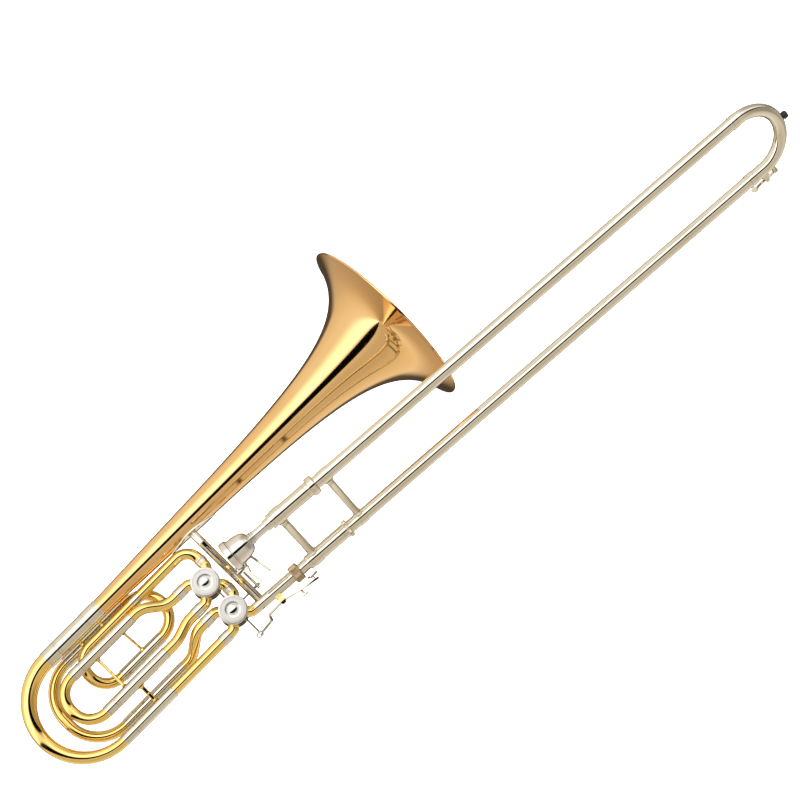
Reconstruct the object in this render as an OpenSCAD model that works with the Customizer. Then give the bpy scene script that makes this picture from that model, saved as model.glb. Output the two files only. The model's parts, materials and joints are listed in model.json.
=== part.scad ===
/* [Bell] */
// Diameter of the bell's mouth over its rim
bell_mouth_d = 241.3; // [200:0.1:270]
// Distance from the mouth back to the tail ferrule
bell_len = 497.5; // [440:0.5:560]
// Outer diameter of the bell stem at its tail
bell_tail_d = 23; // [21:0.1:26]
// Wall of the bell
bell_wall = 0.7; // [0.5:0.1:1.2]
// Depth over which the flare opens to half its power
flare_depth = 27.5; // [22:0.5:34]
// How fast the flare closes behind the mouth
flare_power = 0.75; // [0.7:0.01:0.8]
// Diameter of the wire rolled into the rim
rim_wire_d = 3.2; // [2.4:0.1:4.5]

/* [Bell section layout] */
// Height of the bell's axis above the main lower leg
bell_rise = 135.4; // [132:0.2:150]
// Bell's lift away from the slide's line, in degrees
bell_lift = 5.2; // [4:0.1:7]
// Bell's turn away from the slide's plane, in degrees
bell_turn = 6.5; // [5:0.1:9]
// Lean of the bell section from the slide's plane, in degrees
section_angle = 47.4; // [40:0.2:60]
// Where the bell's mouth stands ahead of the receiver elbow
mouth_reach = 371.4; // [330:0.5:400]

/* [Valves] */
// Outer diameter of a rotary valve's casing
casing_d = 36; // [34:0.2:38]
// Distance between the two valves
valve_pitch = 47.5; // [46.5:0.1:52]
// Length of a valve's casing
casing_len = 45; // [40:0.5:52]
// Turn of a rotor when its lever is pressed, in degrees
rotor_turn = 90; // [80:1:90]

/* [Valve tubing] */
// Outer diameter of the valve tubing
valve_tube_d = 13.8; // [13:0.1:14.2]
// Wall of all drawn tubing
tube_wall = 0.6; // [0.4:0.05:0.9]
// Outer diameter of the outer sleeves and ferrules on the valve tubing
sleeve_d = 15; // [14.6:0.1:15.6]
// Distance between the legs of the second valve's slide
second_spacing = 60; // [58:0.5:61]
// Distance between the legs of the F slide
f_spacing = 105; // [102:0.5:107]
// Pull of the main tuning slide
main_pull = 45; // [30:1:50]
// Pull of the second valve's slide
second_pull = 25; // [15:1:28]
// Pull of the F slide
f_pull = 50; // [30:1:60]

/* [Hand slide] */
// Distance between the two slide tubes
slide_spacing = 89; // [84:0.5:96]
// Outer diameter of the outer slide tubes
outer_d = 16.3; // [15.9:0.05:16.8]
// Wall of the outer slide tubes
outer_wall = 0.57; // [0.4:0.01:0.7]
// Running clearance of the inner tubes, on the radius
slide_gap = 0.08; // [0.05:0.01:0.1]
// Where the bow's tangent meets the upper outer tube
bow_start = 760; // [700:1:800]
// Bore of the inner slide tubes
inner_bore = 14.3; // [13.9:0.05:14.5]

/* [Mouthpiece] */
// Diameter of the mouthpiece's rim
rim_d = 39.6; // [37:0.1:41]
// Inner diameter of the cup at the rim
cup_d = 27.8; // [25:0.1:29]
// Length of the mouthpiece
mouthpiece_len = 88; // [80:0.5:95]

/* [Hidden] */
$fn = 64;
gold = [0.90, 0.70, 0.36];
yellow = [0.96, 0.82, 0.42];
nickel = [0.80, 0.78, 0.70];
silver = [0.86, 0.86, 0.86];
steel = [0.62, 0.62, 0.62];
dull = [0.66, 0.58, 0.48];
cork = [0.72, 0.52, 0.34];
black = [0.08, 0.08, 0.08];

// ---- shared small sizes ----
fit = 0.05;                       // radial clearance of a turning or sliding fit
air = 0.4;                        // least gap between pieces that move past each other
tube_r = valve_tube_d / 2;
tube_ri = tube_r - tube_wall;
sleeve_r = sleeve_d / 2;
sleeve_ri = tube_r + fit;         // the moving inner legs run here
bell_tail_r = bell_tail_d / 2;

// ---- valve positions in the bell section's own frame: x along the bell, y away, z up ----
casing_r = casing_d / 2;
port_step = 15.6 * casing_d / 36; // how far a port's run lies from the valve's centre
knuckle_r = 10;                   // bend of a port knuckle
lower_valve = [-port_step, 0, port_step];
upper_valve = lower_valve + [0, 0, valve_pitch];
ferrule_near = -37.6 - (port_step - 15.6);
ferrule_far = ferrule_near - 14;

// ---- legs in the same frame ----
main_h = 0;
bell_h = bell_rise;
second_y = -5.5;
second_h = 38.8;
f_y = 20;
f_h = 13.9;
long_y = 7;
long_h = 111.9;
f_mid_h = f_h + f_spacing - 60;   // the return sleeve lies one crook below the F slide's upper leg
main_ferrule = [-216, -196];      // moving ferrules of the main tuning slide
main_sleeve_end = -151;
tail_x = mouth_reach - bell_len;
second_ferrule = [-207, -191];
second_sleeve_end = -107;
f_ferrule = [-202, -186];
f_sleeve_end = -104;
main_leg_len = main_pull + 10;
second_leg_len = second_pull + 40;
f_leg_len = f_pull + 20;

// ---- hand slide, in the row frame ----
elbow_x = -71.5;                  // corner of the receiver's elbow
outer_r = outer_d / 2;
outer_ri = outer_r - outer_wall;
inner_r = outer_ri - slide_gap;
inner_ri = inner_bore / 2;
barrel_x = [18, 80];
bow_r = slide_spacing / 2;
outer_x0 = 26;
lower_end = bow_start - 20;       // the lower outer tube stops short for the water key
brace_in_x = 31;
brace_out_x = 104;

// ================= general shapes =================
function unit(v) = v / norm(v);
function side(v) = abs(v[2]) < 0.9 ? unit(cross([0, 0, 1], v)) : unit(cross([0, 1, 0], v));

// Stands the children at o, with their own axes along x, y and z
module at_axes(o, x, y, z)
  multmatrix([[x[0], y[0], z[0], o[0]], [x[1], y[1], z[1], o[1]], [x[2], y[2], z[2], o[2]], [0, 0, 0, 1]])
    children();

// Stands the children at p, with their z axis towards q
module towards(p, q) {
  z = unit(q - p);
  x = side(z);
  at_axes(p, x, cross(z, x), z) children();
}

module annulus(r, ri)
  difference() {
    circle(r);
    if (ri > 0) circle(ri);
  }

module ring(r, ri, len) linear_extrude(len) annulus(r, ri);
module tube(p, q, r, ri = 0) towards(p, q) ring(r, ri, norm(q - p));

// A pipe along points p, turned at each inner point with the bend radius b
function turn(p, i) = acos(unit(p[i] - p[i - 1]) * unit(p[i + 1] - p[i]));
function cut(p, i, b) = (i == 0 || i == len(p) - 1) ? 0 : b * tan(turn(p, i) / 2);
module bend(p, i, b, r, ri) {
  u = unit(p[i] - p[i - 1]);
  w = unit(p[i + 1] - p[i]);
  n = unit(w - (w * u) * u);
  at_axes(p[i] - u * cut(p, i, b) + b * n, -n, u, cross(-n, u))
    rotate_extrude(angle = turn(p, i)) translate([b, 0]) annulus(r, ri);
}
// Bends and straights are separate drawn lengths, butted with a hairline between them
butt = 0.02;
module pipe(p, b, r, ri = 0) {
  last = len(p) - 1;
  for (i = [1 : 1 : last - 1]) bend(p, i, b, r, ri);
  for (i = [0 : last - 1]) {
    u = unit(p[i + 1] - p[i]);
    from = p[i] + u * (i == 0 ? 0 : cut(p, i, b) + butt);
    to = p[i + 1] - u * (i == last - 1 ? 0 : cut(p, i + 1, b) + butt);
    if (norm(to - from) > 0.05) tube(from, to, r, ri);
  }
}

// The bell section leans and turns about the corner of the receiver's elbow
module bell_place()
  translate([elbow_x, 0, 0]) rotate([-section_angle, 0, 0]) rotate([0, 0, bell_turn]) rotate([0, -bell_lift, 0])
    children();
// Ways between the frames, as points
function turn_y(p, a) = [p[0] * cos(a) + p[2] * sin(a), p[1], -p[0] * sin(a) + p[2] * cos(a)];
function turn_z(p, a) = [p[0] * cos(a) - p[1] * sin(a), p[0] * sin(a) + p[1] * cos(a), p[2]];
// The slide's line, seen from the bell section's frame
slide_dir = turn_y(turn_z([1, 0, 0], -bell_turn), bell_lift);

// ================= bell =================
// Outer radius at a distance s behind the mouth: a power flare that passes into a straight stem
stem_s = 300;
mouth_r = bell_mouth_d / 2;
function flare_r(s) = mouth_r * pow((s + flare_depth) / flare_depth, -flare_power);
function bell_r(s) = s < stem_s ? flare_r(s)
  : flare_r(stem_s) + (bell_tail_r - flare_r(stem_s)) * (s - stem_s) / (bell_len - stem_s);
flare_s = [for (i = [0 : 36]) stem_s * pow(i / 36, 2)];
module bell_axis() translate([mouth_reach, 0, bell_h]) rotate([0, -90, 0]) children();
module bell_shell(stations)
  rotate_extrude($fn = 128)
    polygon(concat([for (s = stations) [bell_r(s), s]],
                   [for (i = [len(stations) - 1 : -1 : 0]) [bell_r(stations[i]) - bell_wall, stations[i]]]));
module bell_flare() color(gold) bell_place() bell_axis() bell_shell(flare_s);
module bell_stem() color(gold) bell_place() bell_axis() bell_shell([stem_s, bell_len]);
module rim_wire()
  color(gold) bell_place() bell_axis()
    translate([0, 0, -rim_wire_d / 2]) rotate_extrude($fn = 128) translate([mouth_r - rim_wire_d / 2, 0])
      circle(d = rim_wire_d, $fn = 24);
module tail_ferrule()
  color(nickel) bell_place() tube([main_sleeve_end, 0, bell_h], [tail_x, 0, bell_h], bell_tail_r + 0.6, bell_tail_r - 0.7);

// ================= main tuning slide =================
main_up_r = bell_tail_r - 0.6;
main_low_r = tube_r - 0.1;
module main_sleeves() color(nickel) bell_place() {
  tube([main_ferrule[1], 0, bell_h], [main_sleeve_end, 0, bell_h], bell_tail_r + 0.3, main_up_r + fit);
  tube([main_ferrule[1], 0, main_h], [-133, 0, main_h], sleeve_r, sleeve_ri);
}
module main_lower_tube()
  color(yellow) bell_place() tube([-133, 0, main_h], [ferrule_far, 0, main_h], tube_r, tube_ri);
module main_slide_legs() color(nickel) bell_place() {
  for (leg = [[bell_h, bell_tail_r + 0.3, main_up_r], [main_h, sleeve_r, tube_r]]) {
    tube([main_ferrule[0], 0, leg[0]], [main_ferrule[1] - air, 0, leg[0]], leg[1], leg[2] - tube_wall);
    tube([main_ferrule[1] - air, 0, leg[0]], [main_ferrule[1] + main_leg_len - 12, 0, leg[0]], leg[2], leg[2] - tube_wall);
  }
}
// The crook narrows from the bell's tail to the valve tubing: rings about a half circle
crook_steps = 30;
crook_sides = 32;
crook_r = (bell_h - main_h) / 2;
function crook_ring(i, inset) = let (f = i / crook_steps, a = 180 * f, r = main_up_r + (tube_r - main_up_r) * f - inset)
  [for (k = [0 : crook_sides - 1]) let (b = 360 * k / crook_sides, q = crook_r + r * cos(b))
    [main_ferrule[0] - q * sin(a), r * sin(b), main_h + crook_r + q * cos(a)]];
function quad_faces(from, step, flip) = [for (i = [0 : crook_steps - 1]) for (k = [0 : crook_sides - 1])
  let (a = from + i * crook_sides + k, b = from + i * crook_sides + (k + 1) % crook_sides)
  flip ? [a, b, b + crook_sides, a + crook_sides] : [a, a + crook_sides, b + crook_sides, b]];
function end_faces(outer, inner, flip) = [for (k = [0 : crook_sides - 1]) let (m = (k + 1) % crook_sides)
  flip ? [outer + k, inner + k, inner + m, outer + m] : [outer + k, outer + m, inner + m, inner + k]];
module main_slide_crook() {
  rings = crook_steps + 1;
  far = rings * crook_sides;
  color(yellow) bell_place()
    polyhedron(concat([for (i = [0 : crook_steps]) each crook_ring(i, 0)],
                      [for (i = [0 : crook_steps]) each crook_ring(i, tube_wall)]),
               concat(quad_faces(0, 0, false), quad_faces(far, 0, true), end_faces(0, far, false),
                      end_faces(far - crook_sides, 2 * far - crook_sides, true)), convexity = 6);
}

// ================= second valve's loop =================
second_top = second_h + second_spacing;
upper_left_top = [ferrule_far, 0, upper_valve[2] + port_step];
upper_left_low = [ferrule_far, 0, upper_valve[2] - port_step];
lower_left_top = [ferrule_far, 0, lower_valve[2] + port_step];
module leg_pair(hs, y, ferrule, len)
  for (h = hs) {
    tube([ferrule[0], y, h], [ferrule[1] - air, y, h], sleeve_r, tube_r - tube_wall);
    tube([ferrule[1] - air, y, h], [ferrule[1] + len, y, h], tube_r, tube_r - tube_wall);
  }
module second_sleeves() color(nickel) bell_place() for (h = [second_h, second_top])
  tube([second_ferrule[1], second_y, h], [second_sleeve_end, second_y, h], sleeve_r, sleeve_ri);
module second_valve_tubes() color(yellow) bell_place() {
  pipe([[second_sleeve_end, second_y, second_top], [-92, second_y, second_top], [-66, 0, upper_left_top[2]], upper_left_top],
       30, tube_r, tube_ri);
  pipe([[second_sleeve_end, second_y, second_h], [-88, second_y, second_h], [-64, 0, upper_left_low[2]], upper_left_low],
       35, tube_r, tube_ri);
}
module second_slide_legs() color(nickel) bell_place()
  leg_pair([second_h, second_top], second_y, second_ferrule, second_leg_len);
module second_slide_crook() color(yellow) bell_place() {
  x = second_ferrule[0] - 28.5;
  pipe([[second_ferrule[0], second_y, second_top], [x, second_y, second_top], [x, second_y, second_h],
        [second_ferrule[0], second_y, second_h]], 28, tube_r, tube_ri);
}

// ================= F loop =================
f_top = f_h + f_spacing;
long_dir_x = -192.4;              // left end of the long run's bend
module f_sleeves() color(nickel) bell_place() {
  for (h = [f_h, f_top]) tube([f_ferrule[1], f_y, h], [f_sleeve_end, f_y, h], sleeve_r, sleeve_ri);
  tube([-164, f_y, f_mid_h], [-98, f_y, f_mid_h], sleeve_r, tube_r);
}
module f_slide_legs() color(nickel) bell_place() leg_pair([f_h, f_top], f_y, f_ferrule, f_leg_len);
module f_slide_crook() color(yellow) bell_place() {
  x = f_ferrule[0] - 48.5;
  pipe([[f_ferrule[0], f_y, f_top], [x, f_y, f_top], [x, f_y, f_h], [f_ferrule[0], f_y, f_h]], 48, tube_r, tube_ri);
}
// The long run drifts away from the player, from the upper valve's plane to long_y
long_end = [-150, long_y, long_h];
function long_at(x) = [x, long_y * x / long_end[0], long_h];
module f_entry_tube() color(yellow) bell_place()
  pipe([[0, 0, upper_valve[2] + port_step + 13], [0, 0, long_h], long_end], 19, tube_r, tube_ri);
module f_left_bend() color(yellow) bell_place()
  pipe([long_end - [air, 0, 0], [long_dir_x, long_y, long_h], [long_dir_x, f_y, f_mid_h], [-98, f_y, f_mid_h]],
       26.8, tube_r - 0.02, tube_ri);
module f_right_bend() color(yellow) bell_place()
  pipe([[-98, f_y, f_mid_h], [-68, f_y, f_mid_h], [-68, f_y, f_top], [f_sleeve_end, f_y, f_top]], 29.8, tube_r, tube_ri);
module f_return_tube() color(yellow) bell_place()
  pipe([[f_sleeve_end, f_y, f_h], [-90, f_y, f_h], [-64, 0, lower_left_top[2]], lower_left_top], 22, tube_r, tube_ri);

// ================= valves =================
half_case = casing_len / 2;
case_bore = casing_r - 2.4;
cap_len = 7.5;
module upright() rotate([90, 0, 0]) children();   // z towards the player's side, -y
// The four ports leave at 45 degrees
port_turns = [45, 135, 225, 315];
module port_holes() for (a = port_turns) rotate([0, 0, a]) translate([10, 0, 0]) rotate([0, 90, 0]) cylinder(r = tube_ri, h = 12);
module casing() upright() difference() {
  translate([0, 0, -half_case]) ring(casing_r, case_bore, casing_len);
  port_holes();
}
module cap() upright() translate([0, 0, half_case]) difference() {
  union() {
    cylinder(r = casing_r + 0.25, h = cap_len);
    translate([0, 0, cap_len]) cylinder(d = 13, h = 1.5);
  }
  translate([0, 0, -1]) cylinder(r = casing_r - 1.5, h = cap_len - 1);
}
// A rotor is a drum with two side passages, on a spindle
drum_r = case_bore - fit;
drum_half = 14;
spindle_r = 3;
passage_r = 5.8;
module rotor(turn) upright() rotate([0, 0, turn]) {
  difference() {
    translate([0, 0, -drum_half]) cylinder(r = drum_r, h = 2 * drum_half);
    for (s = [-1, 1]) translate([s * drum_r * sqrt(2), 0, 0]) rotate_extrude() translate([drum_r, 0]) circle(passage_r);
  }
  translate([0, 0, -half_case - 5.6]) cylinder(r = spindle_r, h = half_case + 5.6 - drum_half);
  translate([0, 0, drum_half]) cylinder(r = spindle_r, h = 6);
}
module bearing_plates() upright() {
  difference() {
    union() {
      translate([0, 0, -half_case]) cylinder(r = case_bore, h = 6);
      translate([0, 0, -half_case - 2]) cylinder(r = 14, h = 2);
    }
    translate([0, 0, -half_case - 3]) cylinder(r = spindle_r + fit, h = 12);
  }
  translate([0, 0, drum_half + air]) ring(case_bore, spindle_r + fit, 5);
}
// Stop arm on the spindle: its tip meets a cork at each end of the turn, its stud carries the link
arm_r = 11;
arm_w = 5;
link_arm = 8;
stud_r = 1.5;
cork_r = 2.2;
cork_at = 9.5;
arm_y = half_case + 2.6;          // near face of the stop arms
arm_t = 3;
module stop_arm(turn, stud) upright() rotate([0, 0, turn]) translate([0, 0, -arm_y - arm_t]) {
  difference() {
    union() {
      cylinder(r = 5, h = arm_t);
      translate([0, -arm_w / 2, 0]) cube([arm_r, arm_w, arm_t]);
      translate([arm_r, 0, 0]) cylinder(d = arm_w, h = arm_t);
    }
    translate([0, 0, -1]) cylinder(r = spindle_r, h = arm_t + 2);
  }
  translate([link_arm, 0, -stud]) cylinder(r = stud_r, h = stud);
}
cork_turn = rotor_turn / 2 + asin((arm_w / 2 + cork_r + 0.15) / cork_at);
module corks(mid_turn) upright() translate([0, 0, -half_case - 2 - arm_t])
  for (a = [-cork_turn, cork_turn]) rotate([0, 0, mid_turn + a]) translate([cork_at, 0, 0]) cylinder(r = cork_r, h = arm_t);
module knuckle(v, sx, sz, run, flat) {
  c = v + [sx * port_step, 0, sz * port_step];
  out = flat ? [sx, 0, 0] : [0, 0, sz];
  pipe([v + unit([sx, 0, sz]) * (casing_r - 0.4), c, c + out * run], knuckle_r - 0.3, tube_r, tube_ri);
}
module upper_valve_casing() color(nickel) bell_place() translate(upper_valve) casing();
module lower_valve_casing() color(nickel) bell_place() translate(lower_valve) casing();
module knuckle_set(v, flats) difference() {
  for (k = flats) knuckle(v, k[0], k[1], k[3], k[2]);
  translate(v) rotate([90, 0, 0]) translate([0, 0, -half_case]) cylinder(r = casing_r, h = casing_len);
}
left_len = abs(ferrule_near - (lower_valve[0] - port_step));
link_gap = valve_pitch - 2 * port_step;
module upper_knuckles() color(yellow) bell_place() {
  knuckle_set(upper_valve, [[-1, 1, true, left_len], [-1, -1, true, left_len], [1, 1, false, 5.5], [1, -1, false, link_gap / 2 - 4]]);
}
module lower_knuckles() color(yellow) bell_place() {
  knuckle_set(lower_valve, [[-1, 1, true, left_len], [-1, -1, true, left_len], [1, 1, false, link_gap / 2 - 4]]);
  difference() {
    pipe([lower_valve + unit([1, 0, -1]) * (casing_r - 0.4), [0, 0, 0], slide_dir * 6], knuckle_r - 0.3, tube_r, tube_ri);
    translate(lower_valve) rotate([90, 0, 0]) translate([0, 0, -half_case]) cylinder(r = casing_r, h = casing_len);
  }
}
module port_ferrules() color(nickel) bell_place() {
  for (h = [upper_left_top[2], upper_left_low[2], lower_left_top[2], main_h])
    tube([ferrule_far, 0, h], [ferrule_near, 0, h], sleeve_r, tube_ri);
  tube([0, 0, upper_valve[2] + port_step + 5.5], [0, 0, upper_valve[2] + port_step + 13], sleeve_r, tube_ri);
  tube([0, 0, lower_valve[2] + port_step + link_gap / 2 - 4], [0, 0, lower_valve[2] + port_step + link_gap / 2 + 4], sleeve_r, tube_ri);
  tube(long_at(-96.6), long_at(-82.6), sleeve_r, tube_r);
}
module upper_valve_cap() color(silver) bell_place() translate(upper_valve) cap();
module lower_valve_cap() color(silver) bell_place() translate(lower_valve) cap();
module upper_rotor() color(steel) bell_place() translate(upper_valve) rotor(0);
module lower_rotor() color(steel) bell_place() translate(lower_valve) rotor(90);
module valve_bearing_plates() color(nickel) bell_place() for (v = [upper_valve, lower_valve]) translate(v) bearing_plates();
// The upper arm's middle lies along the bell, the lower arm's straight up; both rest half a turn of travel below
module stop_corks() color(cork) bell_place() {
  translate(upper_valve) corks(0);
  translate(lower_valve) corks(90);
}
module upper_stop_arm() color(steel) bell_place() translate(upper_valve) stop_arm(-rotor_turn / 2, 9.5);
module lower_stop_arm() color(steel) bell_place() translate(lower_valve) stop_arm(90 - rotor_turn / 2, 4.4);

// ================= braces =================
module brace(p, q, r, foot_r, p_tube, q_tube)
  difference() {
    union() {
      tube(p, q, r);
      towards(p, q) cylinder(r = foot_r, h = p_tube + 1.5);
      towards(q, p) cylinder(r = foot_r, h = q_tube + 1.5);
    }
    for (e = [[p, p_tube], [q, q_tube]]) translate(e[0]) rotate([0, 90, 0]) translate([0, 0, -20]) cylinder(r = e[1], h = 40);
  }
// Room round the long run, which slants under its brace
slant = 0.2;
module slide_braces() color(gold) bell_place() {
  brace([-171, second_y, second_h], [-171, second_y, second_top], 1.9, 4, sleeve_r, sleeve_r);
  brace([-127.6, second_y, second_top], [-125, f_y, f_mid_h], 1.6, 3.5, sleeve_r, sleeve_r);
  brace([-157, 0, main_h], [-157, second_y, second_h], 2.6, 5, sleeve_r, sleeve_r);
  brace(long_at(-138.6), [-138.6, 0, bell_h], 2, 3.2, tube_r + slant, bell_tail_r + 0.6);
  brace([-171.6, long_y, long_h], [-171.6, 0, bell_h], 2, 3.2, tube_r, bell_tail_r + 0.3);
}

// ================= bell brace and levers =================
post = [17, -1];
post_r = 5.5;
saddle_t = 1.2;
receiver_r = 7.25;
post_s = mouth_reach - post[0];   // the post's place behind the bell's mouth
wrap = 50;                        // half the length of stem that the saddle may follow
module bell_brace() color(nickel) bell_place() {
  difference() {
    union() {
      tube([post[0], post[1], 2], [post[0], post[1], bell_h - 10], post_r);
      tube([post[0], post[1], 102], [post[0], post[1], 104], post_r + 0.5);
    }
    bell_axis() rotate_extrude() polygon([[0, post_s - wrap], [bell_r(post_s - wrap) + 0.02, post_s - wrap],
      [bell_r(post_s + wrap) + 0.02, post_s + wrap], [0, post_s + wrap]]);
    tube([0, 0, 0] - 5 * slide_dir, 60 * slide_dir, receiver_r);
  }
  // a long pointed saddle wrapped on the stem
  intersection() {
    bell_axis() rotate_extrude() polygon([for (e = [[-wrap, 0.02], [wrap, 0.02], [wrap, saddle_t], [-wrap, saddle_t]])
      [bell_r(post_s + e[0]) + e[1], post_s + e[0]]]);
    translate([post[0], post[1], bell_h - 40]) linear_extrude(36) intersection() {
      translate([0, -60]) circle(70, $fn = 96);
      translate([0, 60]) circle(70, $fn = 96);
    }
  }
}
hinge_y = post[1] - post_r - 4;
hinge_r = 3.2;
pin_r = 1.2;
module thumb_lever_hinge() color(yellow) bell_place() {
  for (z = [[29.5, 8.5], [53.5, 6]]) difference() {
    union() {
      translate([post[0], hinge_y, z[0]]) cylinder(r = hinge_r, h = z[1]);
      translate([post[0] - 2, hinge_y, z[0]]) cube([4, 6, z[1]]);
    }
    translate([post[0], post[1], 0]) cylinder(r = post_r, h = 100);
  }
  translate([post[0], hinge_y, 29]) cylinder(r = pin_r, h = 31);
}
// Depth of the thumb link, and where the lever's pin stands in it
thumb_link_y = arm_y + arm_t + 2.2;
thumb_pin = [post[0] + 11.5, thumb_link_y - 0.8];
// A flat strap that bends in an upright plane: p are [x, z] points, thickness t, width w away from the player
function left(u) = [-u[1], u[0]];
function spun(v, a) = [v[0] * cos(a) - v[1] * sin(a), v[0] * sin(a) + v[1] * cos(a)];
function corner(p, i, b, off) = let (u = unit(p[i] - p[i - 1]), v = unit(p[i + 1] - p[i]), s = sign(left(u) * v),
  c = p[i] - u * b * tan(turn(p, i) / 2) + left(u) * s * b)
  [for (k = [0 : 5]) c - spun(left(u), s * turn(p, i) * k / 5) * s * (b - s * off)];
function edge_line(p, b, off) = let (n = len(p) - 1)
  concat([p[0] + left(unit(p[1] - p[0])) * off], [for (i = [1 : 1 : n - 1]) each corner(p, i, b, off)],
         [p[n] + left(unit(p[n] - p[n - 1])) * off]);
function backwards(v) = [for (i = [len(v) - 1 : -1 : 0]) v[i]];
module strap(p, y, b, t, w)
  translate([0, y + w / 2, 0]) rotate([90, 0, 0]) linear_extrude(w)
    polygon(concat(edge_line(p, b, t / 2), backwards(edge_line(p, b, -t / 2))));
module thumb_lever() color(nickel) bell_place() {
  y = hinge_y;
  difference() {
    union() {
      translate([post[0], y, 38.4]) cylinder(r = hinge_r, h = 14.7);
      translate([post[0], y - 1.5, 40]) cube([19, 3, 6]);
      pipe([[post[0] + 2, y, 49.5], [thumb_pin[0], y, 49.5], [thumb_pin[0], thumb_pin[1], 49.5], [thumb_pin[0], thumb_pin[1], 17]],
           4, 1.75);
    }
    translate([post[0], y, 30]) cylinder(r = pin_r + fit, h = 30);
  }
  strap([[34.5, 42.5], [36.5, 48], [46, 48.5], [51, 19]], y, 3.2, 2.6, 9);
  strap([[34.5, 41], [32, 31], [34.5, 17]], y, 12, 2, 7);
}
module thumb_link() color(steel) bell_place() {
  h = lower_valve[2] + link_arm * sin(45);
  x = lower_valve[0] + link_arm * cos(45);
  y = thumb_link_y;
  difference() {
    union() {
      translate([x, y, h]) rotate([90, 0, 0]) cylinder(r = 3, h = arm_t, center = true);
      tube([x + 1, y, h], [thumb_pin[0] - 3.2, y, h], 1.4);
      translate([thumb_pin[0], y, h]) cylinder(r = 4.2, h = 3, center = true);
    }
    translate([x, y, h]) rotate([90, 0, 0]) cylinder(r = stud_r + fit, h = 9, center = true);
    translate([thumb_pin[0], y, h]) cylinder(r = 3, h = 9, center = true);
  }
}
// The finger lever rocks on a saddle under the receiver
pivot = [35.4, -4, -18];
finger_end = [lower_valve[0] + link_arm * cos(45), arm_y + arm_t + 8, pivot[2] - link_arm * sin(45)];
crank_y = finger_end[1] + 4.6;    // the lever's crank runs behind its link
module finger_lever_saddle() color(yellow) bell_place() {
  difference() {
    union() {
      for (y = [-5, 3]) {
        translate([pivot[0], pivot[1] + y + 2, pivot[2]]) rotate([90, 0, 0]) cylinder(r = 3.8, h = 2);
        translate([pivot[0] - 3, pivot[1] + y, pivot[2]]) cube([6, 2, 9]);
      }
      translate([pivot[0] - 4, pivot[1] - 5, pivot[2] + 5.5]) cube([8, 10, 6]);
    }
    tube([0, 0, 0], 60 * slide_dir, receiver_r);
  }
  translate([pivot[0], pivot[1] + 5.5, pivot[2]]) rotate([90, 0, 0]) cylinder(r = pin_r, h = 11);
}
module finger_lever() color(nickel) bell_place() {
  y = pivot[1];
  difference() {
    union() {
      translate([pivot[0], y + 2.6, pivot[2]]) rotate([90, 0, 0]) cylinder(r = 3.4, h = 5.2);
      pipe([[pivot[0], y, pivot[2]], [11.4, y, -18.5], [11.4, crank_y, -21.5], [finger_end[0] - 1.5, crank_y, finger_end[2]]],
           4, 1.75);
      strap([[pivot[0], pivot[2]], [60, -24], [86, -29]], y, 20, 2.4, 5.2);
    }
    translate([pivot[0], y, pivot[2]]) rotate([90, 0, 0]) cylinder(r = pin_r + fit, h = 20, center = true);
  }
  translate([finger_end[0], crank_y, finger_end[2]]) rotate([90, 0, 0]) cylinder(r = stud_r, h = 6.8);
  // touch plate on its post, and the adjusting screw
  tube([81, y, -28], [81, y, -22.6], 2);
  translate([83, y, -21.6]) rotate([0, 8, 0]) cylinder(r = 7.5, h = 2, center = true);
  tube([60, y, -22], [60, y, -31.5], 1.5);
  tube([60, y, -31.5], [60, y, -33], 4);
}
// The link swings sideways as its arm turns, so the lever's pin runs in a slot in its far eye
link_swing = link_arm * (1 - cos(45)) + 0.5;
module slot(r, len, h) {
  for (x = [-len, 0]) translate([x, 0, 0]) cylinder(r = r, h = h, center = true);
  translate([-len, -r, -h / 2]) cube([len, 2 * r, h]);
}
module finger_link() color(steel) bell_place() {
  top = [upper_valve[0] + link_arm * cos(45), finger_end[1], upper_valve[2] - link_arm * sin(45)];
  y = finger_end[1];
  difference() {
    union() {
      translate([top[0], y, top[2]]) rotate([90, 0, 0]) cylinder(r = 3.4, h = 3, center = true);
      translate([finger_end[0], y, finger_end[2]]) rotate([90, 0, 0]) slot(3.6, link_swing, 3);
      tube([top[0], y, finger_end[2] + 2.9], [top[0], y, top[2] - 1], 1.3);
    }
    translate(top) rotate([90, 0, 0]) cylinder(r = stud_r + fit, h = 9, center = true);
    translate(finger_end) rotate([90, 0, 0]) slot(stud_r + 0.5, link_swing, 9);
  }
}

// ================= receiver and hand slide, in the row frame =================
module on_x(x0, x1, r, ri = 0, z = 0) translate([x0, 0, z]) rotate([0, 90, 0]) ring(r, ri, x1 - x0);
receiver_ri = 6.6;
module receiver() color(nickel) on_x(elbow_x + 6, 0, receiver_r, receiver_ri);
module lock_nut() color(dull) on_x(-6, 6, 11.5, receiver_r + fit);
module slide_tenon() color(nickel) {
  on_x(-45, air, receiver_ri - fit, 5.9);
  on_x(air, barrel_x[0], receiver_r, 5.9);
}
upper_barrel_r = 9.75;
lower_barrel_r = 9.1;
module barrel(r, z) {
  difference() {
    on_x(barrel_x[0], barrel_x[1], r, outer_r + 0.35, z);
    on_x(barrel_x[0] - 1, barrel_x[0] + 4, inner_r, 0, z);
  }
  on_x(barrel_x[0], barrel_x[0] + 4, outer_r + 0.35, inner_r, z);
}
module lower_barrel() color(nickel) {
  barrel(lower_barrel_r, 0);
  on_x(barrel_x[1], 86, lower_barrel_r - 0.2, outer_r + 0.35, 0);
}
module upper_barrel() color(nickel) {
  barrel(upper_barrel_r, slide_spacing);
  on_x(barrel_x[1], 90, 12.4, outer_r + 0.35, slide_spacing);
}
module slide_lock() color(nickel) {
  on_x(barrel_x[1] + 0.1, 85.6, 11.8, lower_barrel_r - 0.2 + fit);
}
module mouthpiece_receiver() color(nickel) {
  on_x(11, barrel_x[0], inner_r, 6.25, slide_spacing);
  on_x(barrel_x[0], 45, inner_ri, 6.25, slide_spacing);
}
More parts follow.
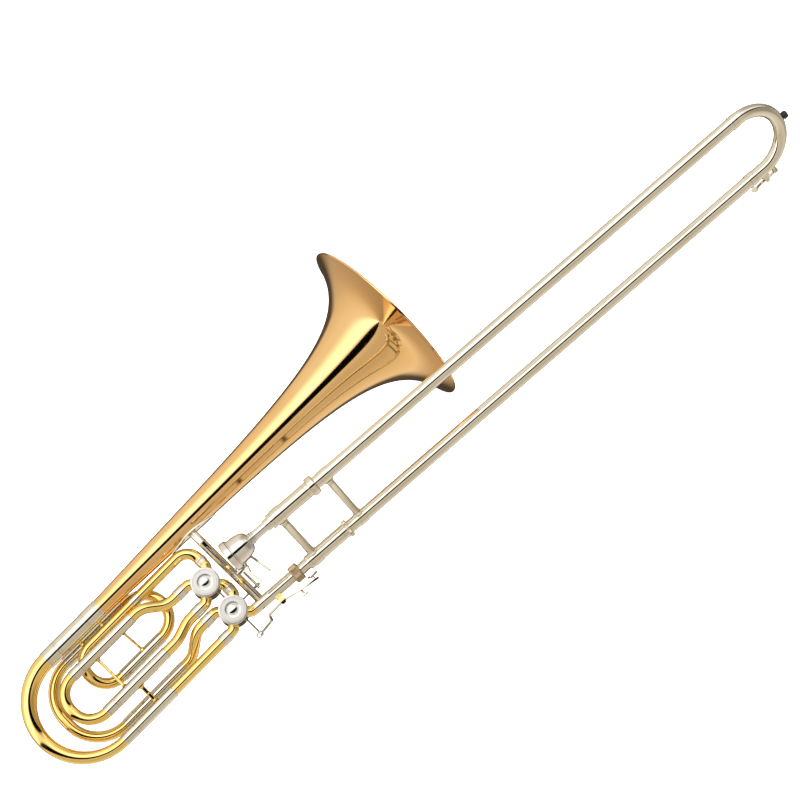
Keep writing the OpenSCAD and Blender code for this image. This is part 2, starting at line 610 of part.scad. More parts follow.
inner_end = bow_start - 60;
module lower_inner_tube() color(nickel) on_x(barrel_x[0], inner_end, inner_r, inner_ri);
module upper_inner_tube() color(nickel) on_x(barrel_x[0], inner_end, inner_r, inner_ri, slide_spacing);
module cross_brace(x, r, lower_r, upper_r) difference() {
  union() {
    tube([x, 0, 0], [x, 0, slide_spacing], r);
    tube([x, 0, lower_r], [x, 0, lower_r + 2.5], r + 1.5);
    tube([x, 0, slide_spacing - upper_r - 2.5], [x, 0, slide_spacing - upper_r], r + 1.5);
    for (e = [[0, lower_r], [slide_spacing, upper_r]]) on_x(x - 6.5, x + 6.5, e[1] + 0.8, 0, e[0]);
  }
  for (e = [[0, lower_r], [slide_spacing, upper_r]]) on_x(x - 20, x + 20, e[1], 0, e[0]);
}
module inner_brace() color(nickel) cross_brace(brace_in_x, 5, lower_barrel_r, upper_barrel_r);
module outer_brace() color(nickel) cross_brace(brace_out_x, 4.5, outer_r, outer_r);
module lower_outer_tube() color(nickel) on_x(outer_x0, lower_end, outer_r, outer_ri);
module upper_outer_tube() color(nickel) on_x(outer_x0, bow_start, outer_r, outer_ri, slide_spacing);
// The bow's two bends stop this far short of meeting
bow_ease = 0.05;
module bow() color(nickel) {
  far = bow_start + bow_r;
  pipe([[bow_start, 0, slide_spacing], [far, 0, slide_spacing], [far, 0, 0], [lower_end, 0, 0]],
       bow_r - bow_ease, outer_r, outer_ri);
}
module bow_ferrules() color(nickel) {
  on_x(bow_start - 10, bow_start, outer_r + 0.6, outer_r, slide_spacing);
  on_x(lower_end - 6, lower_end + 6, outer_r + 0.6, outer_r);
}
bow_tip = bow_start + bow_r + outer_r;
module bumper() color(black) difference() {
  union() {
    on_x(bow_tip - 3, bow_tip + 1, 4, 0, bow_r);
    on_x(bow_tip + 1, bow_tip + 7, 5, 0, bow_r);
  }
  tube([bow_start + bow_r, 0, 20], [bow_start + bow_r, 0, slide_spacing - 20], outer_r);
}
key_pivot = [757, -15.5];
nipple_x = 772;
module water_key_saddle() color(nickel) {
  difference() {
    union() {
      for (y = [-4.6, 3]) {
        translate([key_pivot[0] - 3, y, key_pivot[1]]) cube([6, 1.6, 10]);
        translate([key_pivot[0], y + 1.6, key_pivot[1]]) rotate([90, 0, 0]) cylinder(r = 3, h = 1.6);
      }
      translate([key_pivot[0] - 5, -4.6, -9.4]) cube([10, 9.2, 5]);
      tube([nipple_x, 0, -11], [nipple_x, 0, 0], 2.6);
    }
    on_x(lower_end - 10, bow_start, outer_r);
    at_axes([bow_start + bow_ease, 0, bow_r - bow_ease], [0, 0, -1], [1, 0, 0], [0, 1, 0])
      rotate_extrude(angle = 60) translate([bow_r - bow_ease, 0]) circle(outer_r + butt);
    tube([nipple_x, 0, -20], [nipple_x, 0, 0], 1.4);
  }
  translate([key_pivot[0], 5, key_pivot[1]]) rotate([90, 0, 0]) cylinder(r = 0.9, h = 10);
}
module water_key() color(nickel) {
  difference() {
    union() {
      translate([key_pivot[0], 2.6, key_pivot[1]]) rotate([90, 0, 0]) cylinder(r = 2.4, h = 5.2);
      strap([[737, -17], [750, -15.5], [nipple_x + 2, -15.5]], 0, 30, 1.8, 4.4);
      tube([nipple_x, 0, -16], [nipple_x, 0, -13.3], 3.8);
    }
    translate([key_pivot[0], 6, key_pivot[1]]) rotate([90, 0, 0]) cylinder(r = 0.9 + fit, h = 12);
  }
  tube([nipple_x, 0, -13.3], [nipple_x, 0, -11.1], 3.2);
  translate([738, 0, -17]) cylinder(r = 4.5, h = 1.8, center = true);
}

// ================= mouthpiece =================
rim_x = -47.6;
shank_r = 6.2;
throat_r = 3.6;
cup_depth = 26;
module mouthpiece() color(silver) translate([rim_x, 0, slide_spacing]) rotate([0, 90, 0]) {
  r = rim_d / 2;
  c = cup_d / 2;
  rotate_extrude() polygon(concat(
    [[c, 1.2], [c + 2, 0], [r - 2, 0], [r - 0.4, 1.2], [r, 3], [r, 8.5], [r - 1.5, 10.5], [r - 3, 11]],
    [for (a = [0 : 10 : 90]) [8.6 + (r - 3 - 8.6) * cos(a), 14 + 20 * sin(a)]],
    [[7.3, 36.5], [7.3, 39.5], [shank_r, 41], [shank_r, mouthpiece_len], [shank_r - 0.9, mouthpiece_len], [throat_r, 38]],
    [for (a = [90 : -10 : 0]) [throat_r + (c - throat_r) * cos(a), 3 + (cup_depth - 3) * sin(a)]]));
}

bell_flare();
bell_stem();
rim_wire();
tail_ferrule();
main_sleeves();
main_lower_tube();
main_slide_crook();
main_slide_legs();
second_sleeves();
second_valve_tubes();
second_slide_crook();
second_slide_legs();
f_sleeves();
f_slide_crook();
f_slide_legs();
f_entry_tube();
f_left_bend();
f_right_bend();
f_return_tube();
port_ferrules();
upper_valve_casing();
lower_valve_casing();
upper_knuckles();
lower_knuckles();
upper_valve_cap();
lower_valve_cap();
upper_rotor();
lower_rotor();
valve_bearing_plates();
stop_corks();
upper_stop_arm();
lower_stop_arm();
slide_braces();
bell_brace();
thumb_lever_hinge();
thumb_lever();
thumb_link();
finger_lever_saddle();
finger_lever();
finger_link();
receiver();
lock_nut();
slide_tenon();
lower_barrel();
upper_barrel();
mouthpiece_receiver();
inner_brace();
lower_inner_tube();
upper_inner_tube();
slide_lock();
lower_outer_tube();
upper_outer_tube();
outer_brace();
bow();
bow_ferrules();
bumper();
water_key_saddle();
water_key();
mouthpiece();
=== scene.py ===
"""A bass trombone with two in-line rotary valves, finished around its packed frame."""

import json
import math

import bmesh
import bpy
import numpy as np
from mathutils import Matrix, Vector


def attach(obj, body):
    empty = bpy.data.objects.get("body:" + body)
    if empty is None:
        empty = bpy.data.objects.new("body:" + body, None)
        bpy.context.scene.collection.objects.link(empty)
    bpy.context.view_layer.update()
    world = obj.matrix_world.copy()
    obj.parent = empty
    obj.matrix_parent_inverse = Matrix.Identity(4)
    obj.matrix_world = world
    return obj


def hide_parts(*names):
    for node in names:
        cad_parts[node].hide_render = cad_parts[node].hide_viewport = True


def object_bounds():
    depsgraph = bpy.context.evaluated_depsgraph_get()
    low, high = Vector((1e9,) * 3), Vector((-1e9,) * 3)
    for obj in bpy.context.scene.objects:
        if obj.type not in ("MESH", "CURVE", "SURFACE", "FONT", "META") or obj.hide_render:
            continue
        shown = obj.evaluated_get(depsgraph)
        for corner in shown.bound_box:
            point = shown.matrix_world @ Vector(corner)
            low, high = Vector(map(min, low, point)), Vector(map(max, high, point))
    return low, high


bl_info = {
    "name": "Bass Trombone",
    "version": (1, 0, 0),
    "blender": (4, 5, 0),
    "location": "View3D > Sidebar > Trombone",
    "description": "Builds the polished pieces of a bass trombone on its frame",
    "category": "Add Mesh",
}

# ---- the frame

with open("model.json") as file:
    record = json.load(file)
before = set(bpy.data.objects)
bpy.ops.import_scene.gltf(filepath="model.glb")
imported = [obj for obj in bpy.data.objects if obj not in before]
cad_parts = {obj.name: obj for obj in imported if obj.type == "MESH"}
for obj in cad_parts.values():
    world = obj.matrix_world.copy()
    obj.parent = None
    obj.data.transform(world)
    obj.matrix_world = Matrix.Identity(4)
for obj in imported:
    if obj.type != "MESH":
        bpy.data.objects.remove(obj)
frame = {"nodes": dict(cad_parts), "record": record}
CAD_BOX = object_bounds()
RECORD = frame["record"]
NODES = frame["nodes"]
JOINTS = {j["name"]: j for j in RECORD["behaviour"]["joints"]}
BODY_OF = {n: b for b, nodes in RECORD["behaviour"]["bodies"].items() for n in nodes}
SLOT_OF = {s["node"]: s["material_slot"] for s in RECORD["subparts"]}
MM = 0.001


def joint_values(name, key):
    """A joint's vector in the packed record, by the joint's name and the value's key."""
    return np.array(JOINTS[name][key], dtype=float)


# The bell section's own axes: along the bell, away from the player, up from the main lower leg
PORT_STEP = 15.6
ALONG = -joint_values("main_slide_pull", "axis")
AWAY = -joint_values("upper_rotor_turn", "axis")
UPWARD = np.cross(ALONG, AWAY)
LOWER_VALVE = np.array([-PORT_STEP, 0, PORT_STEP])
VALVE_PITCH = np.linalg.norm(
    joint_values("upper_rotor_turn", "pos_m") - joint_values("lower_rotor_turn", "pos_m")) / MM
UPPER_VALVE = LOWER_VALVE + [0, 0, VALVE_PITCH]
BELL_AXES = np.array([ALONG, AWAY, UPWARD])
ELBOW = joint_values("lower_rotor_turn", "pos_m") / MM - LOWER_VALVE @ BELL_AXES
SLIDE_LINE = BELL_AXES @ np.array([1.0, 0, 0])  # the hand slide's direction, along the bell section's axes


def bell_place(points):
    """Points along the bell section's axes, moved to the row frame."""
    return ELBOW + np.asarray(points, dtype=float) @ BELL_AXES


def row_place(points):
    """Points that are in the row frame already."""
    return np.asarray(points, dtype=float)


# ---- surfaces, in millimetres


def unit(v):
    """The vector divided by its own length."""
    v = np.asarray(v, dtype=float)
    return v / np.linalg.norm(v)


def line(p, q, *between):
    """A straight path from p to q, with stations at the given distances from p."""
    p, q = np.array(p, dtype=float), np.array(q, dtype=float)
    ahead = unit(q - p)
    stations = np.array([0, *between, np.linalg.norm(q - p)])[:, None]
    return p + ahead * stations, np.tile(ahead, (len(stations), 1))


def filleted(points, radius, steps=22):
    """Straights joined by arcs: each inner corner is cut back by radius * tan(turn / 2), and an arc
    of that radius about a centre inside the turn bridges it. Gives the points and their directions."""
    p = [np.array(q, dtype=float) for q in points]
    path, ahead = [p[0][None]], [unit(p[1] - p[0])[None]]
    for before, here, after in zip(p, p[1:], p[2:]):
        u, w = unit(here - before), unit(after - here)
        turn = math.acos(float(np.clip(u @ w, -1, 1)))
        inward = unit(w - (w @ u) * u)
        centre = here - u * radius * math.tan(turn / 2) + inward * radius
        a = np.linspace(0, turn, max(4, int(steps * turn / (math.pi / 2)) + 1))[:, None]
        path.append(centre - radius * (inward * np.cos(a) - u * np.sin(a)))
        ahead.append(u * np.cos(a) + inward * np.sin(a))
    path.append(p[-1][None])
    ahead.append(unit(p[-1] - p[-2])[None])
    return np.concatenate(path), np.concatenate(ahead)


def carried_rings(path, radii, sides):
    """A circle carried along a path, square to its direction. Its zero direction starts anywhere and
    is turned as little as the path allows: what it has along the new direction is taken off."""
    points, ahead = path
    zero = [unit(np.cross(ahead[0], [0.31, 0.77, 0.55]))]
    for direction in ahead[1:]:
        zero.append(unit(zero[-1] - (zero[-1] @ direction) * direction))
    zero = np.array(zero)
    across = np.cross(ahead, zero)
    a = np.linspace(0, 2 * math.pi, sides, endpoint=False)[None, :, None]
    wheel = np.cos(a) * zero[:, None] + np.sin(a) * across[:, None]
    return points[:, None] + np.asarray(radii)[:, None, None] * wheel


def eased(path, radii, ease):
    """A station beside each end, and end radii smaller by the ease, for a small chamfer."""
    points, ahead = path
    radii = np.broadcast_to(np.asarray(radii, dtype=float), len(points)).copy()
    points = np.vstack([points[:1], points[:1] + ahead[0] * ease, points[1:-1],
        points[-1:] - ahead[-1] * ease, points[-1:]])
    ahead = np.vstack([ahead[:1], ahead, ahead[-1:]])
    radii = np.concatenate([radii[:1] - ease, radii, radii[-1:] - ease])
    return (points, ahead), radii


def pipe(path, outer, inner, sides=56, ease=0.12):
    """A hollow pipe: its outer circles forwards, then its inner circles backwards, in one closed band."""
    path, radii = eased(path, outer, ease)
    inside = radii - (np.max(outer) - np.max(inner))
    inside[[0, -1]] += 2 * ease
    return np.concatenate([carried_rings(path, radii, sides), carried_rings(path, inside, sides)[::-1]])


def rod(path, radii, sides=24, ease=0.25):
    """A solid rod with a small chamfer: its circles, and a centre point at each end."""
    path, radii = eased(path, radii, ease)
    rings = carried_rings(path, radii, sides)
    middles = np.repeat(path[0][[0, -1], None], sides, axis=1)
    return np.concatenate([middles[:1], rings, middles[1:]])


def turned(profile, at, axis, sides=72, knurl=None):
    """A profile of (distance along the axis, radius) turned about the axis. A knurl = (count, depth,
    from, to) takes depth * sin^2(count * angle / 2) off the radius between those distances, on the
    outermost tenth."""
    profile = np.array(profile, dtype=float)
    axis = unit(axis)
    zero = unit(np.cross(axis, [0.31, 0.77, 0.55]))
    a = np.linspace(0, 2 * math.pi, sides, endpoint=False)
    radius = np.repeat(profile[:, 1:2], sides, axis=1)
    if knurl:
        count, depth, low, high = knurl
        on = ((profile[:, 0] > low) & (profile[:, 0] < high)
              & (profile[:, 1] > 0.9 * profile[:, 1].max()))[:, None]
        radius = radius - on * depth * np.sin(count * a / 2)[None] ** 2
    wheel = np.cos(a)[:, None] * zero + np.sin(a)[:, None] * np.cross(axis, zero)
    return np.array(at, dtype=float) + profile[:, :1, None] * axis + radius[:, :, None] * wheel


def coil(at, axis, radius, wire, pitch, turns, steps=16, sides=8):
    """A wire whose centre goes round a circle and climbs by the pitch in each turn."""
    axis = unit(axis)
    zero = unit(np.cross(axis, [0.31, 0.77, 0.55]))
    across = np.cross(axis, zero)
    a = np.linspace(0, 2 * math.pi * turns, int(steps * turns))[:, None]
    climb = pitch / (2 * math.pi)
    points = np.array(at, dtype=float) + radius * (np.cos(a) * zero + np.sin(a) * across) + axis * climb * a
    ahead = radius * (np.cos(a) * across - np.sin(a) * zero) + axis * climb
    ahead /= np.linalg.norm(ahead, axis=1)[:, None]
    return rod((points, ahead), wire, sides, ease=wire * 0.3)


def surface(name, place, grids):
    """A mesh of quads over grids of points. Columns wrap round; rows wrap round too unless the first
    row is one point, a pole. Each grid's faces are turned outwards by the sign of its volume."""
    points, faces, base = [], [], 0
    for grid in grids:
        rows, cols = grid.shape[:2]
        wraps = np.ptp(grid[0], axis=0).max() > 1e-9
        i, j = np.meshgrid(np.arange(rows if wraps else rows - 1), np.arange(cols), indexing="ij")
        k, m = (i + 1) % rows, (j + 1) % cols
        quads = np.stack([i * cols + j, i * cols + m, k * cols + m, k * cols + j], axis=-1).reshape(-1, 4)
        flat = place(grid.reshape(-1, 3)) * MM
        p = flat[quads] - flat.mean(axis=0)
        volume = np.einsum("ij,ij->i", p[:, 0] + p[:, 2],
            np.cross(p[:, 2] - p[:, 0], p[:, 3] - p[:, 1])).sum()
        faces.append((quads if volume > 0 else quads[:, ::-1]) + base)
        points.append(flat)
        base += len(flat)
    points, faces = np.concatenate(points), np.concatenate(faces)
    mesh = bpy.data.meshes.new(name)
    mesh.vertices.add(len(points))
    mesh.vertices.foreach_set("co", points.astype(np.float32).ravel())
    mesh.loops.add(faces.size)
    mesh.loops.foreach_set("vertex_index", faces.astype(np.int32).ravel())
    mesh.polygons.add(len(faces))
    mesh.polygons.foreach_set("loop_start", np.arange(0, faces.size, 4, dtype=np.int32))
    mesh.update(calc_edges=True)
    merged(mesh, POLE_REACH)
    return mesh


POLE_REACH = 1e-8
LOOSE_REACH = 2e-6
CREASE = math.radians(30)


def merged(mesh, reach):
    """Points within reach of each other become one."""
    work = bmesh.new()
    work.from_mesh(mesh)
    bmesh.ops.remove_doubles(work, verts=work.verts, dist=reach)
    bmesh.ops.dissolve_degenerate(work, dist=reach / 2, edges=work.edges)
    work.to_mesh(mesh)
    work.free()
    mesh.update()


def stand(name, mesh, body, finish, nodes=()):
    """Puts a finished mesh on its body, in its finish, in place of the CAD nodes named."""
    mesh.polygons.foreach_set("use_smooth", np.ones(len(mesh.polygons), dtype=bool))
    mesh.set_sharp_from_angle(angle=CREASE)
    mesh.materials.clear()
    mesh.materials.append(finish_of(finish))
    obj = bpy.data.objects.new(name, mesh)
    bpy.context.scene.collection.objects.link(obj)
    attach(obj, body)
    if nodes:
        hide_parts(*nodes)
    return obj


def made(name, place, grids, nodes=(), like=None, finish=None):
    """A piece worked out from grids, on the body and in the slot of the first node that it stands for."""
    node = like or nodes[0]
    return stand(name, surface(name, place, grids), BODY_OF[node], finish or SLOT_OF[node],
        nodes)


def dressed(node, width=0.16, finish=None):
    """A copy of a CAD node with its loose triangles merged, its creases kept and its edges eased."""
    mesh = NODES[node].data.copy()
    merged(mesh, LOOSE_REACH)
    obj = stand(f"{node}_finished", mesh, BODY_OF[node], finish or SLOT_OF[node], [node])
    if width:
        bevel = obj.modifiers.new("eased_edges", "BEVEL")
        bevel.width = width * MM
        bevel.segments = 2
        bevel.limit_method = "ANGLE"
        bevel.angle_limit = math.radians(40)
        bevel.use_clamp_overlap = True
    return obj


# ---- finishes


def linear(r, g, b):
    """Screen colour in 0 to 255, as linear light: ((c + 0.055) / 1.055) ^ 2.4 above the foot of the curve."""
    return tuple(((c / 255 + 0.055) / 1.055) ** 2.4 if c > 10 else c / 255 / 12.92 for c in (r, g, b))


class Amount:
    """A number that varies over a surface. Arithmetic on it adds Math nodes."""

    def __init__(self, wiring, socket):
        self.wiring = wiring
        self.socket = socket

    def joined(self, operation, first, second):
        node = self.wiring.node("ShaderNodeMath", {"operation": operation}, {0: first, 1: second})
        return Amount(self.wiring, node.outputs[0])

    def __add__(self, other):
        return self.joined("ADD", self, other)

    __radd__ = __add__

    def __sub__(self, other):
        return self.joined("SUBTRACT", self, other)

    def __rsub__(self, other):
        return self.joined("SUBTRACT", other, self)

    def __mul__(self, other):
        return self.joined("MULTIPLY", self, other)

    __rmul__ = __mul__

    def __truediv__(self, other):
        return self.joined("DIVIDE", self, other)

    def __rtruediv__(self, other):
        return self.joined("DIVIDE", other, self)

    def __pow__(self, other):
        return self.joined("POWER", self, other)

    def step(self, low, high):
        """0 below low, 1 above high, smooth between."""
        settings = {"interpolation_type": "SMOOTHSTEP"}
        node = self.wiring.node("ShaderNodeMapRange", settings,
            {"Value": self, "From Min": low, "From Max": high})
        return Amount(self.wiring, node.outputs["Result"])


class Wiring:
    """Adds nodes to one tree: settings first, then the values or links of the sockets."""

    def __init__(self, tree):
        self.tree = tree
        tree.nodes.clear()

    def node(self, kind, settings=None, inputs=None, stops=None):
        node = self.tree.nodes.new(kind)
        for key, value in (settings or {}).items():
            setattr(node, key, value)
        if stops:
            ramp = node.color_ramp
            while len(ramp.elements) < len(stops):
                ramp.elements.new(1.0)
            for element, (position, colour) in zip(ramp.elements, stops):
                element.position = position
                element.color = (*colour, 1)
        for key, value in (inputs or {}).items():
            socket = node.inputs[key]
            if isinstance(value, Amount):
                self.tree.links.new(value.socket, socket)
            elif isinstance(value, bpy.types.NodeSocket):
                self.tree.links.new(value, socket)
            else:
                socket.default_value = value
        return node

    def place(self, scale):
        """Object coordinates, stretched by scale."""
        where = self.node("ShaderNodeTexCoord").outputs["Object"]
        return self.node("ShaderNodeMapping", {}, {"Vector": where, "Scale": scale}).outputs["Vector"]

    def noise(self, scale, detail=3.0, stretch=(1, 1, 1), rough=0.5):
        """Noise from 0 to 1, at so many lumps in a metre."""
        inputs = {"Vector": self.place(stretch), "Scale": scale, "Detail": detail, "Roughness": rough}
        return Amount(self, self.node("ShaderNodeTexNoise", {}, inputs).outputs["Fac"])

    def blend(self, amount, first, second):
        """The first colour where amount is 0, the second where it is 1."""
        colours = {6: (*first, 1) if isinstance(first, tuple) else first,
            7: (*second, 1) if isinstance(second, tuple) else second}
        node = self.node("ShaderNodeMix", {"data_type": "RGBA"}, {0: amount, **colours})
        return node.outputs[2]


# Each metal: bright colour, worn colour, roughness, coat, and how strongly its brushed lines show
METALS = {
    "gold_brass": dict(bright=(246, 204, 142), worn=(240, 192, 124), rough=0.055, coat=0.25, lines=0.0),
    "yellow_brass": dict(bright=(254, 222, 140), worn=(249, 210, 120), rough=0.05, coat=0.25, lines=0.0),
    "nickel_silver": dict(bright=(234, 228, 212), worn=(222, 213, 192), rough=0.06, coat=0.2, lines=0.0),
    "silver_plate": dict(bright=(238, 236, 230), worn=(220, 216, 206), rough=0.07, coat=0.0, lines=0.0),
    "steel": dict(bright=(206, 206, 208), worn=(176, 176, 180), rough=0.16, coat=0.0, lines=0.3),
    "satin_nickel": dict(bright=(206, 184, 152), worn=(178, 154, 122), rough=0.34, coat=0.0, lines=0.6),
    "satin_silver": dict(bright=(226, 224, 220), worn=(204, 202, 198), rough=0.26, coat=0.0, lines=0.5),
}
MADE_FINISHES = {}


def finish_of(name):
    """A finish is built once, the first time that a piece asks for it."""
    if name not in MADE_FINISHES:
        material = bpy.data.materials.new(name)
        material.use_nodes = True
        wiring = Wiring(material.node_tree)
        if name in METALS:
            metal(wiring, **METALS[name])
        elif name == "cork":
            cork(wiring)
        else:
            rubber(wiring)
        MADE_FINISHES[name] = material
    return MADE_FINISHES[name]


def shown(wiring, **inputs):
    """Ends a material: a Principled shader with the given inputs, wired to the output."""
    names = {key.replace("_", " "): value for key, value in inputs.items()}
    shader = wiring.node("ShaderNodeBsdfPrincipled", {}, names)
    wiring.node("ShaderNodeOutputMaterial", {}, {"Surface": shader.outputs[0]})


def metal(wiring, bright, worn, rough, coat, lines):
    """Polished, lacquered or satin metal. The colour drifts between bright and worn in broad clouds and
    small spots; the roughness adds smears from handling and fine hairlines to its base; the bump is the
    slow waviness of drawn tube, the hairlines and, on satin metal, the brushing."""
    clouds = wiring.noise(9.0, 2.0)
    spots = wiring.noise(420.0, 2.0).step(0.66, 0.78)
    smears = wiring.noise(38.0, 4.0, (1, 1.6, 0.7), 0.6).step(0.42, 0.75)
    hairs = wiring.noise(900.0, 2.0, (0.05, 1, 1), 0.7).step(0.62, 0.8)
    brushing = wiring.noise(1600.0, 2.0, (1, 0.06, 0.06), 0.7)
    waves = wiring.noise(30.0, 1.0)
    colour = wiring.blend(clouds.step(0.3, 0.7) * 0.75 + spots * 0.25, linear(*bright), linear(*worn))
    height = waves * 0.15 + hairs * 0.02 + brushing * lines * 0.12
    bump = wiring.node("ShaderNodeBump", {}, {"Strength": 0.12, "Distance": 0.00025, "Height": height})
    shown(
        wiring,
        Base_Color=colour,
        Metallic=1.0,
        Roughness=smears * 0.05 + hairs * 0.05 + spots * 0.04 + brushing * lines * 0.15 + rough,
        Coat_Weight=coat,
        Coat_Roughness=0.04,
        Normal=bump.outputs["Normal"],
    )


def cork(wiring):
    """Pressed cork: light grains with darker joints between them, and pores in the bump."""
    grains = wiring.noise(1400.0, 3.0)
    cell = wiring.node("ShaderNodeTexVoronoi", {"feature": "DISTANCE_TO_EDGE"},
        {"Vector": wiring.place((1, 1, 1)), "Scale": 900.0})
    joints = Amount(wiring, cell.outputs["Distance"]).step(0.0, 0.12)
    tan = wiring.blend(grains.step(0.35, 0.65), linear(176, 128, 82), linear(206, 164, 112))
    colour = wiring.blend(joints, linear(104, 70, 42), tan)
    bump = wiring.node("ShaderNodeBump", {}, {"Strength": 0.5, "Distance": 0.0002,
        "Height": joints * 0.6 + grains * 0.4})
    shown(wiring, Base_Color=colour, Roughness=grains * 0.1 + 0.78, Normal=bump.outputs["Normal"])


def rubber(wiring):
    """Black moulded rubber: greyed where it is handled, with a fine pebble."""
    clouds = wiring.noise(160.0, 3.0)
    pebble = wiring.noise(2600.0, 2.0)
    colour = wiring.blend(clouds.step(0.35, 0.7), linear(11, 11, 12), linear(24, 23, 23))
    bump = wiring.node("ShaderNodeBump", {}, {"Strength": 0.35, "Distance": 0.0001, "Height": pebble})
    shown(wiring, Base_Color=colour, Roughness=clouds * 0.15 + 0.42, Normal=bump.outputs["Normal"])


# ---- the bell section's sizes, in millimetres

AIR = 0.3
TUBE_R = 6.9
TUBE_RI = 6.3
SLEEVE_R = 7.5
BELL_H = 135.4
MOUTH_X = 371.4
MOUTH_R = 120.65
TAIL_R = 11.5
TAIL_X = -126.1
STEM_S = 300.0
MAIN_X = (-216.0, -196.0, -151.0)
SECOND_Y, SECOND_H, SECOND_TOP = -5.5, 38.8, 98.8
SECOND_X = (-207.0, -191.0, -107.0)
F_Y, F_H, F_TOP, F_MID = 20.0, 13.9, 118.9, 58.9
F_X = (-202.0, -186.0, -104.0)
FERRULE_X = (-51.6, -37.6)
LONG_END = np.array([-150.0, 7.0, 111.9])
PORTS = [UPPER_VALVE[2] + PORT_STEP, UPPER_VALVE[2] - PORT_STEP, LOWER_VALVE[2] + PORT_STEP, 0.0]


def bell_radius(s):
    """Outer radius at s behind the mouth: mouth radius * ((s + 27.5) / 27.5) ^ -0.75, then straight to
    the tail from the stem on."""
    power = MOUTH_R * ((s + 27.5) / 27.5) ** -0.75
    foot = MOUTH_R * ((STEM_S + 27.5) / 27.5) ** -0.75
    return np.where(s < STEM_S, power, foot + (TAIL_R - foot) * (s - STEM_S) / (MOUTH_X - TAIL_X - STEM_S))


def bell_shell():
    """The bell from mouth to tail as one closed band, its outer wall out and its inner wall back."""
    s = np.concatenate([[0.0, 0.25], STEM_S * np.linspace(0.03, 1, 90) ** 2,
        np.linspace(320, MOUTH_X - TAIL_X, 9)])
    outer, inner = bell_radius(s), bell_radius(s) - 0.7
    profile = np.concatenate([np.stack([s, outer], 1), np.stack([s, inner], 1)[::-1]])
    return turned(profile, (MOUTH_X, 0, BELL_H), (-1, 0, 0), 256)


def rim_wire():
    """A ring of wire rolled into the bell's edge: a circle of 1.6 carried about the bell's axis."""
    a = np.linspace(0, 2 * math.pi, 24, endpoint=False)
    profile = np.stack([1.6 * np.cos(a), MOUTH_R - 1.6 + 1.6 * np.sin(a)], 1)
    return turned(profile, (MOUTH_X + 1.6, 0, BELL_H), (1, 0, 0), 256)


def sleeve(p, q, outer, inner, bead=0.0, lines=()):
    """A straight hollow sleeve: a raised bead near its far end, and engraved lines at distances from p."""
    path = line(p, q)
    length = np.linalg.norm(np.subtract(q, p))
    profile = [(0.0, outer - 0.2), (0.2, outer)]
    for at in lines:
        profile += [(at - 0.3, outer), (at - 0.15, outer - 0.22), (at + 0.15, outer - 0.22),
            (at + 0.3, outer)]
    if bead:
        a = np.linspace(0, math.pi, 7)
        profile += [(length - 1.6 - 1.1 * math.cos(t), outer + bead * math.sin(t)) for t in a]
    profile += [(length - 0.2, outer), (length, outer - 0.2), (length, inner + 0.15), (length - 0.15, inner)]
    profile += [(0.15, inner), (0.0, inner + 0.15)]
    return turned(profile, p, path[1][0], 64)


def solder(at, axis, radius, reach=0.55):
    """The small hollow-faced fillet of solder where a tube leaves a sleeve or plate."""
    a = np.linspace(0, math.pi / 2, 6)
    face = [(reach * (1 - math.sin(t)), radius + reach * (1 - math.cos(t))) for t in a]
    return turned([(0, radius - 0.05), *face, (reach, radius - 0.05)], at, axis, 56)


def crook_band():
    """The main slide's half circle, narrowing evenly from the bell's tail to the valve tubing."""
    f = np.linspace(0, 1, 61)
    a = math.pi * f
    r = BELL_H / 2
    centre = np.array([MAIN_X[0], 0, r])
    points = centre + r * np.stack([-np.sin(a), 0 * a, np.cos(a)], 1)
    ahead = np.stack([-np.cos(a), 0 * a, -np.sin(a)], 1)
    radii = (TAIL_R - 0.6) + (TUBE_R - TAIL_R + 0.6) * f
    outer = carried_rings((points, ahead), radii, 72)
    inner = carried_rings((points, ahead), radii - 0.6, 72)
    return np.concatenate([outer, inner[::-1]])


def legs(hs, y, x, run, radii=None):
    """Moving ferrules and the inner legs that slide in the sleeves."""
    grids = []
    for h, (ferrule_r, leg_r) in zip(hs, radii or [(SLEEVE_R, TUBE_R)] * len(hs)):
        grids.append(sleeve((x[0], y, h), (x[1] - AIR, y, h), ferrule_r, leg_r - 0.6, 0.25, (2.2, 3.4)))
        grids.append(pipe(line((x[1] - AIR, y, h), (x[1] + run, y, h)), leg_r, leg_r - 0.6))
    return grids


def make_bell():
    """The bell's flare and stem as one band, its rim wire, and the ferrule at its tail."""
    made("bell_body", bell_place, [bell_shell()], ["bell_flare", "bell_stem"])
    made("bell_rim", bell_place, [rim_wire()], ["rim_wire"])
    tail = sleeve((MAIN_X[2], 0, BELL_H), (TAIL_X, 0, BELL_H), TAIL_R + 0.6, TAIL_R - 0.7, 0.0,
        (2.4, 3.6, 21.3, 22.5))
    made("bell_tail_ferrule", bell_place, [tail], ["tail_ferrule"])


def make_main_slide():
    """The main tuning slide: sleeves and the lower leg on the bell section, and the crook with
    its two inner legs, which slides out of them."""
    up = (TAIL_R + 0.3, TAIL_R - 0.6)
    sleeves = [sleeve((MAIN_X[1], 0, BELL_H), (MAIN_X[2], 0, BELL_H), up[0], up[1] + 0.05, 0.0, (2.4, 3.6)),
               sleeve((MAIN_X[1], 0, 0), (-133, 0, 0), SLEEVE_R, TUBE_R + 0.05, 0.25, (2.4, 3.6))]
    made("main_slide_sleeves", bell_place, sleeves, ["main_sleeves"])
    made("main_leg_tube", bell_place, [pipe(line((-133, 0, 0), (FERRULE_X[0], 0, 0)), TUBE_R, TUBE_RI)],
        ["main_lower_tube"])
    made("main_crook", bell_place, [crook_band()], ["main_slide_crook"])
    moving = legs((BELL_H, 0.0), 0, MAIN_X[:2], 43.0, [up, (SLEEVE_R, TUBE_R)])
    made("main_slide_inner_legs", bell_place, moving, ["main_slide_legs"])


